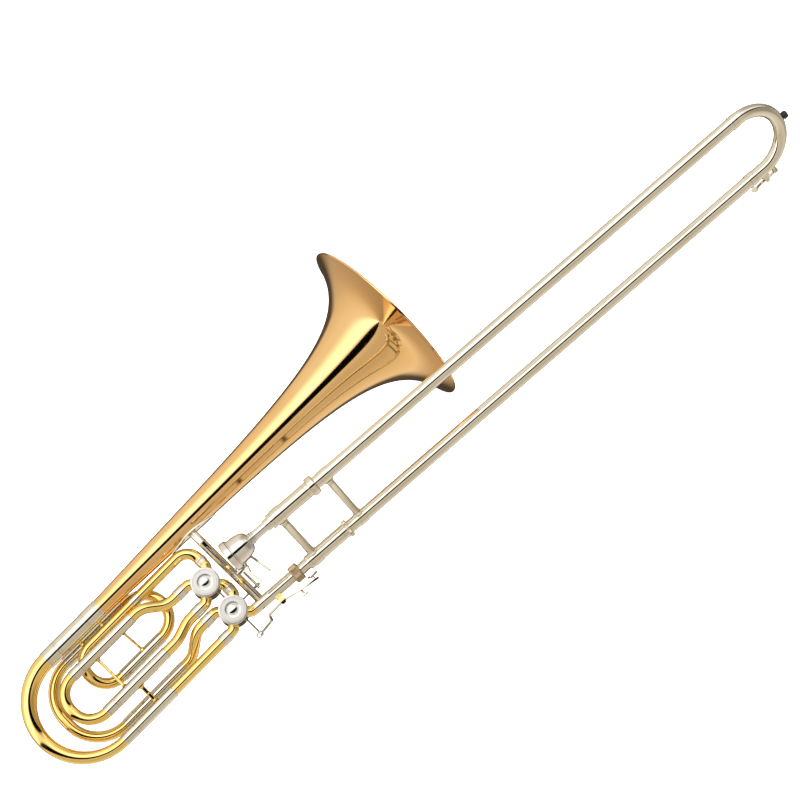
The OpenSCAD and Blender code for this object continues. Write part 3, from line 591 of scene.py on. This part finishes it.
def make_loops():
    """The second valve's loop and the F loop. Each has sleeves, a crook with two inner legs that
    slides, and tubes drawn as straight runs with rounded corners from there to the valves' ports."""
    sy, sh, st = SECOND_Y, SECOND_H, SECOND_TOP
    end = SECOND_X[2]
    pair = [sleeve((SECOND_X[1], sy, h), (end, sy, h), SLEEVE_R, TUBE_R + 0.05, 0.25, (2.4, 3.6))
        for h in (sh, st)]
    made("second_slide_sleeves", bell_place, pair, ["second_sleeves"])
    swan = [pipe(filleted([(end, sy, st), (-92, sy, st), (-66, 0, PORTS[0]), (FERRULE_X[0], 0, PORTS[0])],
        30), TUBE_R, TUBE_RI),
            pipe(filleted([(end, sy, sh), (-88, sy, sh), (-64, 0, PORTS[1]), (FERRULE_X[0], 0, PORTS[1])],
                35), TUBE_R, TUBE_RI)]
    made("second_loop_tubes", bell_place, swan, ["second_valve_tubes"])
    x = SECOND_X[0] - 28.5
    bow = filleted([(SECOND_X[0], sy, st), (x, sy, st), (x, sy, sh), (SECOND_X[0], sy, sh)], 28)
    made("second_crook", bell_place, [pipe(bow, TUBE_R, TUBE_RI)], ["second_slide_crook"])
    made("second_slide_inner_legs", bell_place, legs((sh, st), sy, SECOND_X[:2], 65.0), ["second_slide_legs"])
    pair = [sleeve((F_X[1], F_Y, h), (F_X[2], F_Y, h), SLEEVE_R, TUBE_R + 0.05, 0.25, (2.4, 3.6))
        for h in (F_H, F_TOP)]
    pair.append(sleeve((-164, F_Y, F_MID), (-98, F_Y, F_MID), SLEEVE_R, TUBE_R, 0.0, (2.4, 3.6, 62.4, 63.6)))
    made("f_slide_sleeves", bell_place, pair, ["f_sleeves"])
    x = F_X[0] - 48.5
    bow = filleted([(F_X[0], F_Y, F_TOP), (x, F_Y, F_TOP), (x, F_Y, F_H), (F_X[0], F_Y, F_H)], 48)
    made("f_crook", bell_place, [pipe(bow, TUBE_R, TUBE_RI)], ["f_slide_crook"])
    made("f_slide_inner_legs", bell_place, legs((F_H, F_TOP), F_Y, F_X[:2], 70.0), ["f_slide_legs"])
    top = PORTS[0] + 13
    entry = filleted([(0, 0, top), (0, 0, LONG_END[2]), LONG_END], 19)
    made("f_entry", bell_place, [pipe(entry, TUBE_R, TUBE_RI)], ["f_entry_tube"])
    long_y, long_h = LONG_END[1:]
    left = [LONG_END - [AIR, 0, 0], (-192.4, long_y, long_h), (-192.4, F_Y, F_MID), (-98, F_Y, F_MID)]
    made("f_left_crook", bell_place, [pipe(filleted(left, 26.8), TUBE_R - 0.02, TUBE_RI)], ["f_left_bend"])
    right = [(-98, F_Y, F_MID), (-68, F_Y, F_MID), (-68, F_Y, F_TOP), (F_X[2], F_Y, F_TOP)]
    made("f_right_crook", bell_place, [pipe(filleted(right, 29.8), TUBE_R, TUBE_RI)], ["f_right_bend"])
    back = [(F_X[2], F_Y, F_H), (-90, F_Y, F_H), (-64, 0, PORTS[2]), (FERRULE_X[0], 0, PORTS[2])]
    made("f_return", bell_place, [pipe(filleted(back, 22), TUBE_R, TUBE_RI)], ["f_return_tube"])


# ---- valves

CASE_R = 18.0
HALF_CASE = 22.5
CAP_LEN = 7.5
KNUCKLE_BEND = 9.7


def knuckle(valve, corner, way, run):
    """A port's elbow: from the casing's wall out at 45 degrees, round to the way it leaves."""
    diagonal = unit(np.asarray(corner) - valve)
    start = valve + diagonal * (CASE_R - 1.2)
    return pipe(filleted([start, corner, np.asarray(corner) + np.asarray(way) * run], KNUCKLE_BEND), TUBE_R,
        TUBE_RI)


def cap_grid(valve):
    """A screwed valve cap: a plain skirt, a knurled band with rounded lips, a dished face and its boss."""
    r = CASE_R + 0.25
    a = np.linspace(0, math.pi / 2, 5)
    profile = [(1.0, r - 1.7), (0.0, r - 1.5), (0.0, r - 0.45), (0.25, r - 0.3), (1.3, r - 0.3), (1.5, r)]
    profile += [(1.9, r), *[(d, r) for d in np.linspace(2.1, 5.4, 8)], (5.7, r)]
    profile += [(6.1 + 1.1 * math.sin(t), r - 1.1 + 1.1 * math.cos(t)) for t in a]
    profile += [(7.2, r - 1.6), (7.35, r - 2.0), (7.35, r - 2.2), (7.35, r - 3.0), (7.35, r - 3.2),
                (7.1, r - 3.45),
                (7.1, r - 3.75), (7.35, r - 4.0), (7.35, r - 4.2), (7.35, 9.9), (7.35, 9.6)]
    profile += [(7.0, 8.9), (7.0, 7.2), (7.0, 7.0), (7.0, 0.0)]
    profile = [(6.0, 0.0), (6.0, r - 2.0), *profile]
    return turned(profile, valve - [0, HALF_CASE, 0], (0, -1, 0), 384, (96, 0.34, 1.8, 7.25))


def boss_grid(valve):
    """The polished boss in a cap's middle: a short collar under a quarter ellipse."""
    a = np.linspace(0, math.pi / 2, 12)
    profile = [(6.8, 0.0), (6.8, 6.3), (7.6, 6.3), (7.8, 6.1), (7.8, 5.9), (8.0, 5.7)]
    profile += [(8.0 + math.sin(t), 5.6 * math.cos(t)) for t in a]
    return turned(profile, valve - [0, HALF_CASE, 0], (0, -1, 0), 72)


def make_valves():
    """For each valve an elbow at every port with a ring of solder, the cap and its boss, and eased
    copies of the casing, the stop arm and the rotor; then the ports' ferrules."""
    for name, valve in (("upper", UPPER_VALVE), ("lower", LOWER_VALVE)):
        ports = [(-1, 1, (-1, 0, 0), 6.4), (-1, -1, (-1, 0, 0), 6.4)]
        out = (0, 0, 1)
        ports.append((1, 1, out, 5.5 if name == "upper" else 4.15))
        if name == "upper":
            ports.append((1, -1, (0, 0, -1), 4.15))
        grids = [knuckle(valve, valve + [sx * PORT_STEP, 0, sz * PORT_STEP], way, run)
            for sx, sz, way, run in ports]
        if name == "lower":
            grids.append(knuckle(valve, valve + [PORT_STEP, 0, -PORT_STEP], SLIDE_LINE, 6.0))
        grids += [solder(valve + unit([sx, 0, sz]) * CASE_R * 1.02, (sx, 0, sz), TUBE_R)
            for sx in (-1, 1) for sz in (-1, 1)]
        made(f"{name}_port_elbows", bell_place, grids, [f"{name}_knuckles"])
        made(f"{name}_cap", bell_place, [cap_grid(valve)], [f"{name}_valve_cap"], finish="satin_silver")
        made(f"{name}_cap_boss", bell_place, [boss_grid(valve)], like=f"{name}_valve_cap")
        dressed(f"{name}_valve_casing", 0.3)
        dressed(f"{name}_stop_arm", 0.25)
        dressed(f"{name}_rotor", 0)
    ferrules = [sleeve((FERRULE_X[1], 0, h), (FERRULE_X[0], 0, h), SLEEVE_R, TUBE_RI, 0.25, (1.6, 2.6))
        for h in PORTS]
    top = PORTS[0] + 5.5
    ferrules.append(sleeve((0, 0, top), (0, 0, top + 7.5), SLEEVE_R, TUBE_RI, 0.2, (1.6,)))
    low = PORTS[2] + (VALVE_PITCH - 2 * PORT_STEP) / 2 - 4
    ferrules.append(sleeve((0, 0, low), (0, 0, low + 8), SLEEVE_R, TUBE_RI, 0.2, (1.6,)))
    slope = LONG_END[1] / LONG_END[0]
    ends = [(x, slope * x, LONG_END[2]) for x in (-82.6, -96.6)]
    ferrules.append(sleeve(*ends, SLEEVE_R, TUBE_R, 0.25, (1.6, 2.6)))
    made("tube_ferrules", bell_place, ferrules, ["port_ferrules"])
    dressed("valve_bearing_plates", 0.25)
    dressed("stop_corks", 0.2)


# ---- braces, levers and links


def make_braces():
    """Five turned braces between the tubes, and eased copies of the bell brace, the thumb lever's
    hinge and the finger lever's saddle."""
    rods = [((-171, SECOND_Y, SECOND_H), (-171, SECOND_Y, SECOND_TOP), 1.9, 4.0, SLEEVE_R, SLEEVE_R),
            ((-127.6, SECOND_Y, SECOND_TOP), (-125, F_Y, F_MID), 1.6, 3.5, SLEEVE_R, SLEEVE_R),
            ((-157, 0, 0), (-157, SECOND_Y, SECOND_H), 2.6, 5.0, SLEEVE_R, SLEEVE_R),
            ((-138.6, 6.47, LONG_END[2]), (-138.6, 0, BELL_H), 2.0, 3.2, TUBE_R, TAIL_R + 0.6),
            ((-171.6, 7, LONG_END[2]), (-171.6, 0, BELL_H), 2.0, 3.2, TUBE_R, TAIL_R + 0.3)]
    made("tubing_braces", bell_place, [brace(*values) for values in rods], ["slide_braces"])
    for node, width in (("bell_brace", 0.35), ("thumb_lever_hinge", 0.3), ("finger_lever_saddle", 0.3)):
        dressed(node, width)


def brace(p, q, r, foot, p_tube, q_tube):
    """A turned brace between two tubes: at each end a foot whose radius falls as a hollow curve to the
    rod, which has a small ring at its middle. The feet start inside the tubes' walls."""
    length = np.linalg.norm(np.subtract(q, p))
    a = np.linspace(0, 1, 9)
    near = [(p_tube - 0.25 + 3.2 * t, r + (foot - r) * (1 - t) ** 2.4) for t in a]
    far = [(length - d, rad) for d, rad in [(q_tube - 0.25 + 3.2 * t, r + (foot - r) * (1 - t) ** 2.4)
        for t in a[::-1]]]
    middle = (near[-1][0] + far[0][0]) / 2
    ring = [(middle + 0.9 * u, r + 0.45 * math.sqrt(max(0.0, 1 - u * u))) for u in np.linspace(-1, 1, 9)]
    room = far[0][0] - near[-1][0] > 4
    profile = [(near[0][0], 0.0), *near, *(ring if room else []), *far, (far[-1][0], 0.0)]
    return turned(profile, p, np.subtract(q, p), 40)


def make_levers():
    """Eased copies of the two levers and their links, and each lever's coil spring. A spring stays
    on the bell section and doesn't wind."""
    for node, width in (("thumb_lever", 0.35), ("thumb_link", 0.25), ("finger_lever", 0.35),
            ("finger_link", 0.25)):
        dressed(node, width)
    thumb = coil((17, -10.5, 46.6), (0, 0, 1), 3.9, 0.45, 1.05, 5.5)
    made("thumb_lever_spring", bell_place, [thumb], like="thumb_lever_hinge", finish="steel")
    finger = coil((35.4, -1.1, -18), (0, 1, 0), 2.3, 0.4, 0.75, 2.0)
    made("finger_lever_spring", bell_place, [finger], like="finger_lever_saddle", finish="steel")


# ---- the hand slide, in the row frame

SPACING = 89.0
OUTER_R = 8.15
OUTER_RI = 7.58
INNER_R = 7.5
INNER_RI = 7.15
BOW_X = 760.0
BOW_R = SPACING / 2
LOWER_END = 740.0
UPPER_BARREL_R, LOWER_BARREL_R = 9.75, 9.1


def on_x(profile, z=0.0, sides=72, knurl=None):
    """A profile of (place on X, radius) turned about a line along X at height z."""
    return turned(profile, (0, 0, z), (1, 0, 0), sides, knurl)


def barrel(r, z, collar):
    """A slide barrel: rounded lips, engraved lines near both ends, and its collar's step or ring."""
    inner = OUTER_R + 0.35
    profile = [(18.0, INNER_R + 0.1), (18.0, r - 0.9), (18.25, r - 0.4), (18.8, r - 0.1), (19.4, r)]
    for at in (22.5, 24.0, 74.0, 75.5):
        profile += [(at - 0.35, r), (at - 0.15, r - 0.22), (at + 0.15, r - 0.22), (at + 0.35, r)]
    profile += collar
    profile += [(22.1, inner), (22.0, inner - 0.1), (22.0, INNER_R + 0.1)]
    return on_x(profile, z, 80)


def make_inner_slide():
    """The inner slide: two barrels with a collar and a cap, two tubes, the mouthpiece's socket, the
    tenon and the hand brace."""
    tip = 86.0
    low_collar = [(80.0, LOWER_BARREL_R), (80.1, 8.9), (tip - 0.2, 8.9), (tip, 8.75), (tip, OUTER_R + 0.5),
        (tip - 0.2, OUTER_R + 0.35)]
    made("lower_slide_barrel", row_place, [barrel(LOWER_BARREL_R, 0.0, low_collar)], ["lower_barrel"])
    r = UPPER_BARREL_R
    cap = [(79.4, r), (80.0, r + 0.4), (80.4, 11.7), (80.9, 12.3), (81.5, 12.4), (82.6, 12.4), (82.9, 12.1),
        (83.2, 12.1)]
    cap += [(83.5, 12.4), (87.6, 12.4), (88.6, 12.2), (89.5, 11.6), (90.0, 10.6), (90.0, OUTER_R + 0.6),
        (89.7, OUTER_R + 0.35)]
    made("upper_slide_barrel", row_place, [barrel(r, SPACING, cap)], ["upper_barrel"])
    inner_end = BOW_X - 60
    for node, z in (("lower_inner_tube", 0.0), ("upper_inner_tube", SPACING)):
        path = line((18, 0, z), (inner_end, 0, z), inner_end - 138)
        made(node.replace("_tube", "_slide_tube"), row_place, [pipe(path, INNER_R, INNER_RI)], [node])
    socket = [(11.0, 6.4), (11.0, 7.3), (11.2, INNER_R), (17.9, INNER_R), (18.0, 7.3), (18.0, INNER_RI),
              (45.0, INNER_RI),
              (45.0, 6.25), (11.3, 6.25)]
    made("mouthpiece_socket", row_place, [on_x(socket, SPACING)], ["mouthpiece_receiver"])
    dressed("slide_tenon", 0.1)
    cross_brace("inner_slide_brace", "inner_brace", 31.0, 5.0, LOWER_BARREL_R, UPPER_BARREL_R)


def cross_brace(name, node, x, r, lower, upper):
    """A hand brace: a straight tube with rings and hollow cones at its ends, on saddles round the tubes."""
    top = SPACING - upper
    a = np.linspace(0, 1, 8)
    foot = [(lower - 0.2, 0.0), (lower - 0.2, r + 1.5), (lower + 1.6, r + 1.5)]
    foot += [(lower + 1.8 + 0.9 * t, r + 1.5 * (1 - t) ** 2) for t in a]
    head = [(SPACING - (d - lower) - upper, rad) for d, rad in foot[::-1]]
    ring = [(h, r + 0.35 * math.sin(math.pi * k / 6)) for h0 in (lower + 5.5, top - 7.5) for k, h in
            zip(range(7), np.linspace(h0, h0 + 2, 7))]
    grids = [turned(foot + ring + head, (x, 0, 0), (0, 0, 1), 64)]
    for z, tube in ((0.0, lower), (SPACING, upper)):
        saddle = [(x - 6.5, tube + 0.05), (x - 6.5, tube + 0.55), (x - 6.2, tube + 0.8),
                  (x + 6.2, tube + 0.8),
                  (x + 6.5, tube + 0.55), (x + 6.5, tube + 0.05)]
        grids.append(on_x(saddle, z, 80))
    made(name, row_place, grids, [node])


def make_outer_slide():
    """The outer slide: two tubes, the bow with its ferrules, the hand brace, the bumper, whose end
    is a quarter circle turned about X, and the water key with its saddle and spring."""
    made("lower_outer_slide_tube", row_place,
        [pipe(line((26, 0, 0), (LOWER_END, 0, 0)), OUTER_R, OUTER_RI, 64)], ["lower_outer_tube"])
    upper = pipe(line((26, 0, SPACING), (BOW_X, 0, SPACING)), OUTER_R, OUTER_RI, 64)
    made("upper_outer_slide_tube", row_place, [upper], ["upper_outer_tube"])
    far = BOW_X + BOW_R
    corners = [(BOW_X, 0, SPACING), (far, 0, SPACING), (far, 0, 0), (LOWER_END, 0, 0)]
    made("slide_bow", row_place, [pipe(filleted(corners, BOW_R - 0.05, 30), OUTER_R, OUTER_RI, 64)], ["bow"])
    ferrules = [sleeve((BOW_X, 0, SPACING), (BOW_X - 10, 0, SPACING), OUTER_R + 0.6, OUTER_R, 0.25,
        (1.8, 2.9)),
                sleeve((LOWER_END + 6, 0, 0), (LOWER_END - 6, 0, 0), OUTER_R + 0.6, OUTER_R, 0.25,
                    (1.8, 2.9))]
    made("slide_bow_ferrules", row_place, ferrules, ["bow_ferrules"])
    cross_brace("outer_slide_brace", "outer_brace", 104.0, 4.5, OUTER_R, OUTER_R)
    tip = BOW_X + BOW_R + OUTER_R
    a = np.linspace(0, math.pi / 2, 7)
    foot = [(tip - 1.2, 0.0), (tip - 1.2, 3.6), (tip + 0.9, 4.0), (tip + 1.1, 4.9), (tip + 1.5, 5.0),
        (tip + 4.5, 5.0)]
    foot += [(tip + 4.5 + 2.5 * math.sin(t), 2.5 + 2.5 * math.cos(t)) for t in a] + [(tip + 7.0, 0.0)]
    made("slide_bumper", row_place, [on_x(foot, BOW_R, 48)], ["bumper"])
    dressed("water_key_saddle", 0.25)
    dressed("water_key", 0.3)
    spring = coil((757, 2.75, -15.5), (0, -1, 0), 2.75, 0.3, 0.8, 5.2)
    made("water_key_spring", row_place, [spring], like="water_key_saddle", finish="steel")


def make_receiver():
    """The receiver's tube with two shallow grooves, and the lock nut and the slide's lock ring,
    both turned and knurled."""
    r = 7.25
    body = [(-65.5, r - 0.15), (-65.3, r), (-13.0, r), (-12.6, r - 0.25), (-12.2, r - 0.25), (-11.8, r),
            (-9.0, r),
            (-8.6, r - 0.25), (-8.2, r - 0.25), (-7.8, r), (-0.2, r), (0.0, r - 0.2), (0.0, 6.75),
            (-0.15, 6.6), (-65.4, 6.6)]
    made("receiver_tube", row_place, [on_x(body)], ["receiver"])
    n = 11.5
    nut = [(-6.0, r + 0.25), (-6.0, n - 1.3), (-5.7, n - 0.6), (-5.1, n - 0.15), (-4.6, n), (-4.2, n)]
    nut += [(x, n) for x in np.linspace(-4.0, 4.0, 9)]
    nut += [(4.2, n), (4.6, n), (5.1, n - 0.15), (5.7, n - 0.6), (6.0, n - 1.3), (6.0, r + 0.25),
        (5.7, r + 0.05), (-5.7, r + 0.05)]
    made("bell_lock_nut", row_place, [on_x(nut, 0.0, 288, (72, 0.3, -4.3, 4.3))], ["lock_nut"])
    s = 11.8
    lock = [(80.1, 9.1), (80.1, s - 0.7), (80.5, s - 0.15), (80.9, s)]
    lock += [(x, s) for x in np.linspace(81.2, 84.5, 6)]
    lock += [(84.8, s), (85.2, s - 0.15), (85.6, s - 0.7), (85.6, 9.1), (85.4, 8.95), (80.3, 8.95)]
    made("slide_lock_ring", row_place, [on_x(lock, 0.0, 288, (96, 0.26, 81.1, 84.6))], ["slide_lock"])


def make_mouthpiece():
    """The mouthpiece is one turned profile: rim, bite, cup, backbore, shank with beads, and the cup's
    outside as a quarter ellipse that falls in two steps to the shank."""
    r, c = 19.8, 13.9
    a = np.linspace(0, math.pi / 2, 19)
    rim = [(1.9, c - 0.15), (1.2, c + 0.1), (0.55, c + 0.75), (0.15, c + 1.5), (0.0, c + 2.4),
           (0.12, r - 2.2), (0.5, r - 1.2),
           (1.15, r - 0.45), (2.1, r - 0.05), (3.0, r), (7.6, r), (8.3, r - 0.25), (8.8, r - 0.9),
           (9.2, r - 1.6), (9.9, r - 1.9),
           (10.4, r - 1.9), (10.9, r - 2.3), (11.1, r - 3.0)]
    cup = [(14 + 20 * math.sin(t), 8.6 + (r - 11.6) * math.cos(t)) for t in a]
    shank = [(34.6, 8.1), (35.6, 7.3), (36.5, 7.1), (37.0, 7.3), (37.6, 7.95), (38.2, 7.3), (38.6, 7.1),
             (39.5, 7.0), (40.1, 6.6),
             (40.7, 6.9), (41.2, 6.5), (42.0, 6.2), (87.7, 6.2), (88.0, 5.95), (88.0, 5.4), (87.8, 5.3),
             (38.0, 3.6)]
    bowl = [(3 + 23 * math.sin(t), 3.6 + (c - 3.6) * math.cos(t)) for t in a[::-1][1:]]
    made("mouthpiece_turned", row_place, [turned(rim + cup + shank + bowl, (-47.6, 0, SPACING), (1, 0, 0),
        144)], ["mouthpiece"])


# ---- the stage

VIEW = dict(azimuth=-3.109, elevation=39.98, roll=38.815, distance=2500.0, across=166.763, above=101.957,
    focal=2044.442)
FRAME_WIDTH = 800.0
SENSOR = 36.0


def look():
    """The camera's directions: forward from its azimuth and elevation, right and up turned by its roll."""
    az, el, roll = (math.radians(VIEW[k]) for k in ("azimuth", "elevation", "roll"))
    forward = np.array([-math.sin(az) * math.cos(el), math.cos(az) * math.cos(el), -math.sin(el)])
    right = unit(np.cross(forward, [0, 0, 1]))
    up = np.cross(right, forward)
    return forward, right * math.cos(roll) - up * math.sin(roll), right * math.sin(roll) + up * math.cos(roll)


def make_camera():
    """The camera: it looks from a set distance at a point along the slide and up the picture. Its
    lens is the sensor's width times the focal length over the frame's width, both in one unit."""
    forward, right, up = look()
    aim = np.array([VIEW["across"], 0, 0]) + up * VIEW["above"]
    data = bpy.data.cameras.new("studio_camera")
    data.sensor_width = SENSOR
    data.lens = SENSOR * VIEW["focal"] / FRAME_WIDTH
    data.clip_end = 50.0
    camera = bpy.data.objects.new("studio_camera", data)
    turn = np.eye(4)
    turn[:3, 0], turn[:3, 1], turn[:3, 2] = right, up, -forward
    turn[:3, 3] = (aim - forward * VIEW["distance"]) * MM
    camera.matrix_world = Matrix(turn.tolist())
    bpy.context.scene.collection.objects.link(camera)
    bpy.context.scene.camera = camera


def make_floor(level, colour):
    """A pale floor well below the part, with a slow rise and fall of a tenth of a millimetre."""
    u = np.linspace(-9.0, 9.0, 41)
    x, y = np.meshgrid(u, u)
    z = level + 0.0001 * np.sin(x) * np.cos(y)
    points = np.stack([x, y, z], -1).reshape(-1, 3)
    i, j = np.meshgrid(np.arange(40), np.arange(40), indexing="ij")
    k = i * 41 + j
    mesh = bpy.data.meshes.new("studio_floor")
    mesh.from_pydata(points.tolist(), [], np.stack([k, k + 1, k + 42, k + 41], -1).reshape(-1, 4).tolist())
    material = bpy.data.materials.new("studio_floor")
    material.use_nodes = True
    wiring = Wiring(material.node_tree)
    grain = wiring.noise(3.0, 2.0)
    paper = wiring.blend(grain.step(0.3, 0.7), linear(*colour), linear(*(c - 1 for c in colour)))
    shown(wiring, Base_Color=paper, Roughness=grain * 0.05 + 0.9, Emission_Color=(1, 1, 1, 1),
        Emission_Strength=0.55)
    mesh.materials.append(material)
    floor = bpy.data.objects.new("studio_floor", mesh)
    floor.visible_glossy = False
    bpy.context.scene.collection.objects.link(floor)


def make_sky(strength, line_half):
    """The studio as a tent of light around the X axis. The angle about it is measured from the way to
    the front and above: a narrow black gap there, white cloth above it, warm shade behind, and dimmer
    cloth below. One end of the tent along X is open and dimmer, and the far side has a
    dark back wall. Seen directly, it is a plain white backdrop."""
    world = bpy.data.worlds.new("studio_tent")
    bpy.context.scene.world = world
    world.use_nodes = True
    wiring = Wiring(world.node_tree)
    way = wiring.node("ShaderNodeTexCoord").outputs["Generated"]
    parts = wiring.node("ShaderNodeSeparateXYZ", {}, {0: way})
    x, y, z = (Amount(wiring, socket) for socket in parts.outputs)
    lean = math.radians(FRONT_LEAN)
    front = z * math.sin(lean) - y * math.cos(lean)
    over = z * math.cos(lean) + y * math.sin(lean)
    angle = over.joined("ARCTAN2", over, front) * (180 / math.pi)
    stops = [(t, linear(*c)) for t, c in TENT]
    place = angle / 360 + 0.5
    ramp = wiring.node("ShaderNodeValToRGB", {}, {0: place}, stops)
    gap = angle.joined("ABSOLUTE", angle, 0.0).step(line_half, line_half + 2.0)
    colour = wiring.blend(gap, linear(6, 6, 7), ramp.outputs[0])
    strip = angle.step(STRIP[0], STRIP[1]) * (1.0 - angle.step(STRIP[2], STRIP[3]))
    open_end = 1.0 - x.step(END[0], END[1]) * END[2]
    back = angle.joined("ABSOLUTE", angle, 0.0).step(BACK[0], BACK[1])
    shade = 1.0 - back * (1.0 - x.joined("ABSOLUTE", x, 0.0).step(BACK[2], BACK[3])) * BACK[4]
    light = wiring.node("ShaderNodeBackground", {},
        {0: colour, 1: (strip * STRIP_GAIN + 1.0) * open_end * shade * strength})
    seen = wiring.node("ShaderNodeLightPath").outputs["Is Camera Ray"]
    backdrop = wiring.node("ShaderNodeBackground", {}, {0: (1, 1, 1, 1), 1: 1.0})
    both = wiring.node("ShaderNodeMixShader", {}, {0: seen, 1: light.outputs[0], 2: backdrop.outputs[0]})
    wiring.node("ShaderNodeOutputWorld", {}, {0: both.outputs[0]})


FRONT_LEAN = 39.4
STRIP = (12.0, 20.0, 34.0, 72.0)  # degrees where the brightest cloth starts and ends
STRIP_GAIN = 1.0
END = (0.3, 0.65, 0.45)  # where the tent's open end starts and ends along X, and how much it darkens
BACK = (124.0, 142.0, 0.3, 0.55, 0.85)  # the dark back wall: its edges in degrees and along X, and how dark
TENT = [(0.0, (176, 158, 136)), (0.07, (206, 190, 168)), (0.13, (252, 246, 236)), (0.22, (238, 229, 214)),
        (0.33, (208, 197, 180)), (0.43, (214, 205, 190)), (0.48, (234, 228, 217)), (0.52, (255, 254, 250)),
        (0.66, (255, 253, 248)), (0.76, (250, 243, 231)), (0.86, (234, 221, 202)), (0.93, (206, 190, 168)),
        (1.0, (176, 158, 136))]


def make_lamp(name, way, distance, size, power):
    """A soft rectangular lamp, aimed at the middle of the part."""
    data = bpy.data.lights.new(name, "AREA")
    data.shape = "SQUARE"
    data.size = size
    data.energy = power
    lamp = bpy.data.objects.new(name, data)
    low, high = (np.array(c) for c in CAD_BOX)
    middle = (low + high) / 2
    lamp.location = Vector((middle + unit(way) * distance).tolist())
    lamp.rotation_euler = Vector((-unit(way)).tolist()).to_track_quat("-Z", "Y").to_euler()
    lamp.visible_glossy = False
    bpy.context.scene.collection.objects.link(lamp)


# ---- the add-on


class TromboneSettings(bpy.types.PropertyGroup):
    """What can be changed about the stage."""
    tent_strength: bpy.props.FloatProperty(
        name="Tent strength", description="Brightness of the light tent", default=1.0, min=0.0, max=4.0)
    gap_half_angle: bpy.props.FloatProperty(
        name="Gap", description="Half of the black gap in the tent, in degrees", default=9.5, min=0.0,
        max=30.0)
    lamp_power: bpy.props.FloatProperty(
        name="Lamp power", description="Power of the soft lamp", default=60.0, min=0.0, max=1000.0,
        unit="POWER")
    floor_level: bpy.props.FloatProperty(
        name="Floor level", description="Height of the pale floor", default=-0.9, unit="LENGTH")
    floor_colour: bpy.props.IntVectorProperty(
        name="Floor colour", description="Screen colour of the floor", default=(252, 252, 252), min=0,
        max=255)


class Maker(bpy.types.Operator):
    """Builds one group of pieces"""
    bl_options = {"REGISTER"}
    steps = ()

    def execute(self, context):
        for step in self.steps:
            step()
        return {"FINISHED"}


def maker(name, label, doc, *steps):
    """One operator class for a group of pieces."""
    values = {"bl_idname": f"trombone.{name}", "bl_label": label, "__doc__": doc, "steps": steps}
    return type(f"TROMBONE_OT_{name}", (Maker,), values)


class TROMBONE_OT_stage(bpy.types.Operator):
    """Makes the camera, the pale floor, the light tent and the soft lamp"""
    bl_idname = "trombone.stage"
    bl_label = "Stage"

    def execute(self, context):
        settings = context.scene.trombone
        make_camera()
        make_floor(settings.floor_level, tuple(settings.floor_colour))
        make_sky(settings.tent_strength, settings.gap_half_angle)
        make_lamp("soft_top", (0.1, -0.2, 1.0), 1.6, 1.2, settings.lamp_power)
        context.scene.view_settings.view_transform = "Standard"
        return {"FINISHED"}


MAKERS = [
    TROMBONE_OT_stage,
    maker("bell", "Bell", "Turns the bell with its rim wire and tail ferrule", make_bell),
    maker("main_slide", "Main tuning slide", "Draws the main tuning slide, its sleeves and lower leg",
        make_main_slide),
    maker("loops", "Valve loops", "Draws the second valve's loop and the F loop", make_loops),
    maker("valves", "Rotary valves", "Makes the two valves with their caps, port elbows and stops",
        make_valves),
    maker("braces", "Braces", "Turns the braces of the bell section", make_braces),
    maker("levers", "Levers", "Finishes the two levers, their links and springs", make_levers),
    maker("receiver", "Receiver", "Turns the receiver, the lock nut and the slide lock", make_receiver),
    maker("inner_slide", "Inner slide", "Draws the inner slide with its barrels and brace", make_inner_slide),
    maker("outer_slide", "Outer slide", "Draws the outer slide with its bow, brace and water key",
        make_outer_slide),
    maker("mouthpiece", "Mouthpiece", "Turns the mouthpiece", make_mouthpiece),
]


class TROMBONE_PT_makers(bpy.types.Panel):
    """Lists the pieces and the settings of the stage"""
    bl_label = "Bass Trombone"
    bl_idname = "TROMBONE_PT_makers"
    bl_space_type = "VIEW_3D"
    bl_region_type = "UI"
    bl_category = "Trombone"

    def draw(self, context):
        for name in TromboneSettings.__annotations__:
            self.layout.prop(context.scene.trombone, name)
        for cls in MAKERS:
            self.layout.operator(cls.bl_idname)


CLASSES = [TromboneSettings, *MAKERS, TROMBONE_PT_makers]


def register():
    """Registers the classes and the scene's settings."""
    for cls in CLASSES:
        bpy.utils.register_class(cls)
    bpy.types.Scene.trombone = bpy.props.PointerProperty(type=TromboneSettings)


def unregister():
    """Takes away the scene's settings and the classes, the last one first."""
    del bpy.types.Scene.trombone
    for cls in reversed(CLASSES):
        bpy.utils.unregister_class(cls)


def main():
    """Registers the add-on, calls each operator in turn and writes the size file."""
    register()
    for cls in MAKERS:
        getattr(bpy.ops.trombone, cls.bl_idname.split(".")[1])()


if __name__ == "__main__":
    main()
